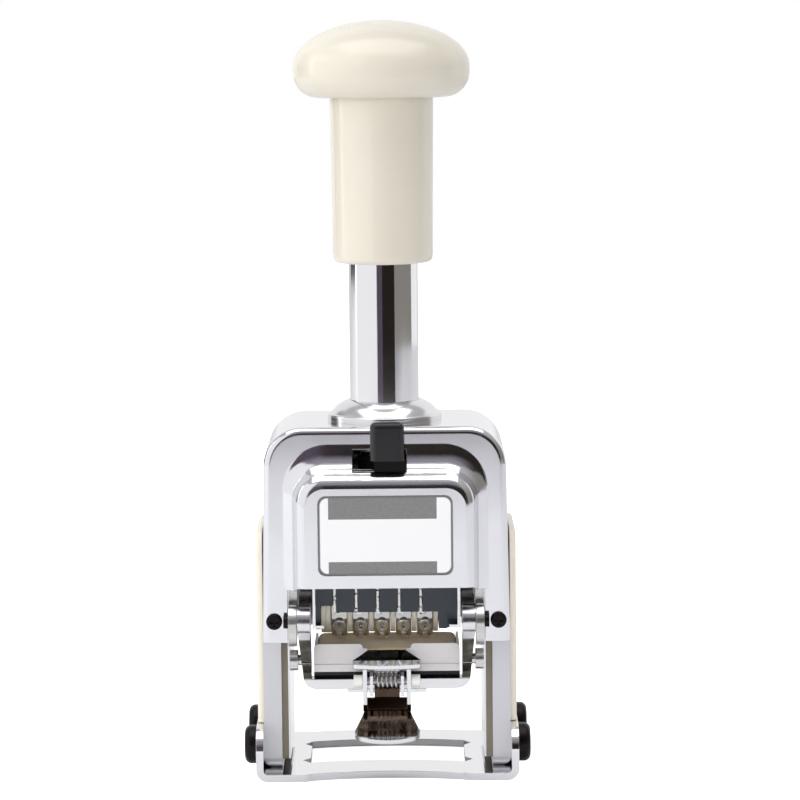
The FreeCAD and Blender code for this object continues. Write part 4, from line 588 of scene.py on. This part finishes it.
def type_digit(digit, middle):
    """One raised digit, mirrored, in its place round the wheel."""
    bpy.ops.object.text_add()
    piece = bpy.context.object
    piece.data.body = str(digit)
    piece.data.size = TYPE_TALL
    piece.data.align_x = "CENTER"
    piece.data.align_y = "CENTER"
    piece.data.offset = -TYPE_THINNED
    piece.data.extrude = RELIEF - ROUND
    piece.data.bevel_depth = ROUND
    piece.data.bevel_resolution = 3
    piece.data.resolution_u = 6
    bpy.ops.object.convert(target="MESH")
    piece = bpy.context.object
    bpy.ops.object.mode_set(mode="EDIT")
    bpy.ops.mesh.select_all(action="SELECT")
    bpy.ops.mesh.remove_doubles(threshold=WELD)
    bpy.ops.transform.resize(value=(-TYPE_STRETCH, 1, 1))
    bpy.ops.mesh.normals_make_consistent(inside=False)
    bpy.ops.transform.translate(value=(0, 0, TYPE_R - RELIEF))
    bpy.ops.object.mode_set(mode="OBJECT")
    piece.location = (middle, 0, AXLE_Z)
    piece.rotation_euler = (FIRST_TURN + 2 * math.pi * digit / FACES, 0, 0)
    bpy.ops.object.transform_apply(location=True, rotation=True, scale=True)
    return piece


middle = (low[0] + high[0]) / 2
parts = [wheel_blank(middle)] + [type_digit(digit, middle) for digit in range(DIGITS)]
bpy.ops.object.select_all(action="DESELECT")
for part in parts:
    part.select_set(True)
bpy.context.view_layer.objects.active = parts[0]
bpy.ops.object.join()
first_wheel = bpy.context.object
bpy.ops.object.shade_smooth_by_angle(angle=SHARP_FROM)
first_wheel.data.materials.clear()
first_wheel.data.materials.append(type_metal)
type_wheels = [first_wheel]
for number in range(2, 6):
    a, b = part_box("number_wheel_%d" % number)
    bpy.ops.object.select_all(action="DESELECT")
    first_wheel.select_set(True)
    bpy.context.view_layer.objects.active = first_wheel
    bpy.ops.object.duplicate(linked=False)
    copy = bpy.context.object
    copy.location = ((a[0] + b[0]) / 2 - middle, 0, 0)
    bpy.ops.object.transform_apply(location=True, rotation=True, scale=True)
    type_wheels.append(copy)
for number, wheel in enumerate(type_wheels, 1):
    wheel.name = "type_wheel_%d" % number
    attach(wheel, "wheel_%d" % number)
    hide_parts("number_wheel_%d" % number)
print("type wheels:", len(type_wheels), "with", len(first_wheel.data.polygons), "faces each")

# %% [markdown]
# ## Finishes on the CAD pieces
# Every piece that keeps its CAD shape gets its finish in its material slot. Its mesh stays
# as it is.

# %% Finishes on nodes
FINISH = {
    chrome: ["base_plate", "guide_plate_left", "guide_plate_right", "guide_tube", "yoke",
             "wheel_plate_left", "wheel_plate_right", "clip_holder"],
    finger_steel: ["detent_comb"],
    clip_chrome: ["clip_lever"],
    frame_chrome: ["pad_frame"],
    pressed_chrome: ["housing_shell", "rear_cover"],
    turned_chrome: ["tube_collar"],
    shiny_steel: ["pivot_bracket_left", "pivot_bracket_right", "swing_bosses"],
    satin_leg: ["leg_left", "leg_right"],
    satin_tin: ["pad_tray"],
    satin_steel: ["tube_nut", "spring_seat", "plunger_rod", "wheel_axle", "feed_rocker", "clip_pin"],
    spring_wire: ["return_spring", "clip_spring"],
    blued: ["comb_bar", "end_plates"],
    black_oxide: ["foot_screws", "housing_screws", "rear_cover_screws", "pivot_screws", "mode_lever",
                  "mode_quadrant"],
    black_abs: ["mode_lever_cap"],
    gloss_ivory: ["grip_sleeve", "knob_cap"],
    shaded_liner_nylon: ["guide_liner_left", "guide_liner_right"],
    ivory_abs: ["side_cover_left", "side_cover_right", "spacer_rings",
                "ratchet_ring_1", "ratchet_ring_2", "ratchet_ring_3", "ratchet_ring_4", "ratchet_ring_5"],
    white_nylon: ["clip_bushes"],
    rubber: ["stroke_bumper"],
    label_enamel: ["label_plate"],
}
for material, nodes in FINISH.items():
    for name in nodes:
        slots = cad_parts[name].data.materials
        slots.clear()
        slots.append(material)
bare = set(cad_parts) - {name for nodes in FINISH.values() for name in nodes}
print("nodes without a finish:", sorted(bare))
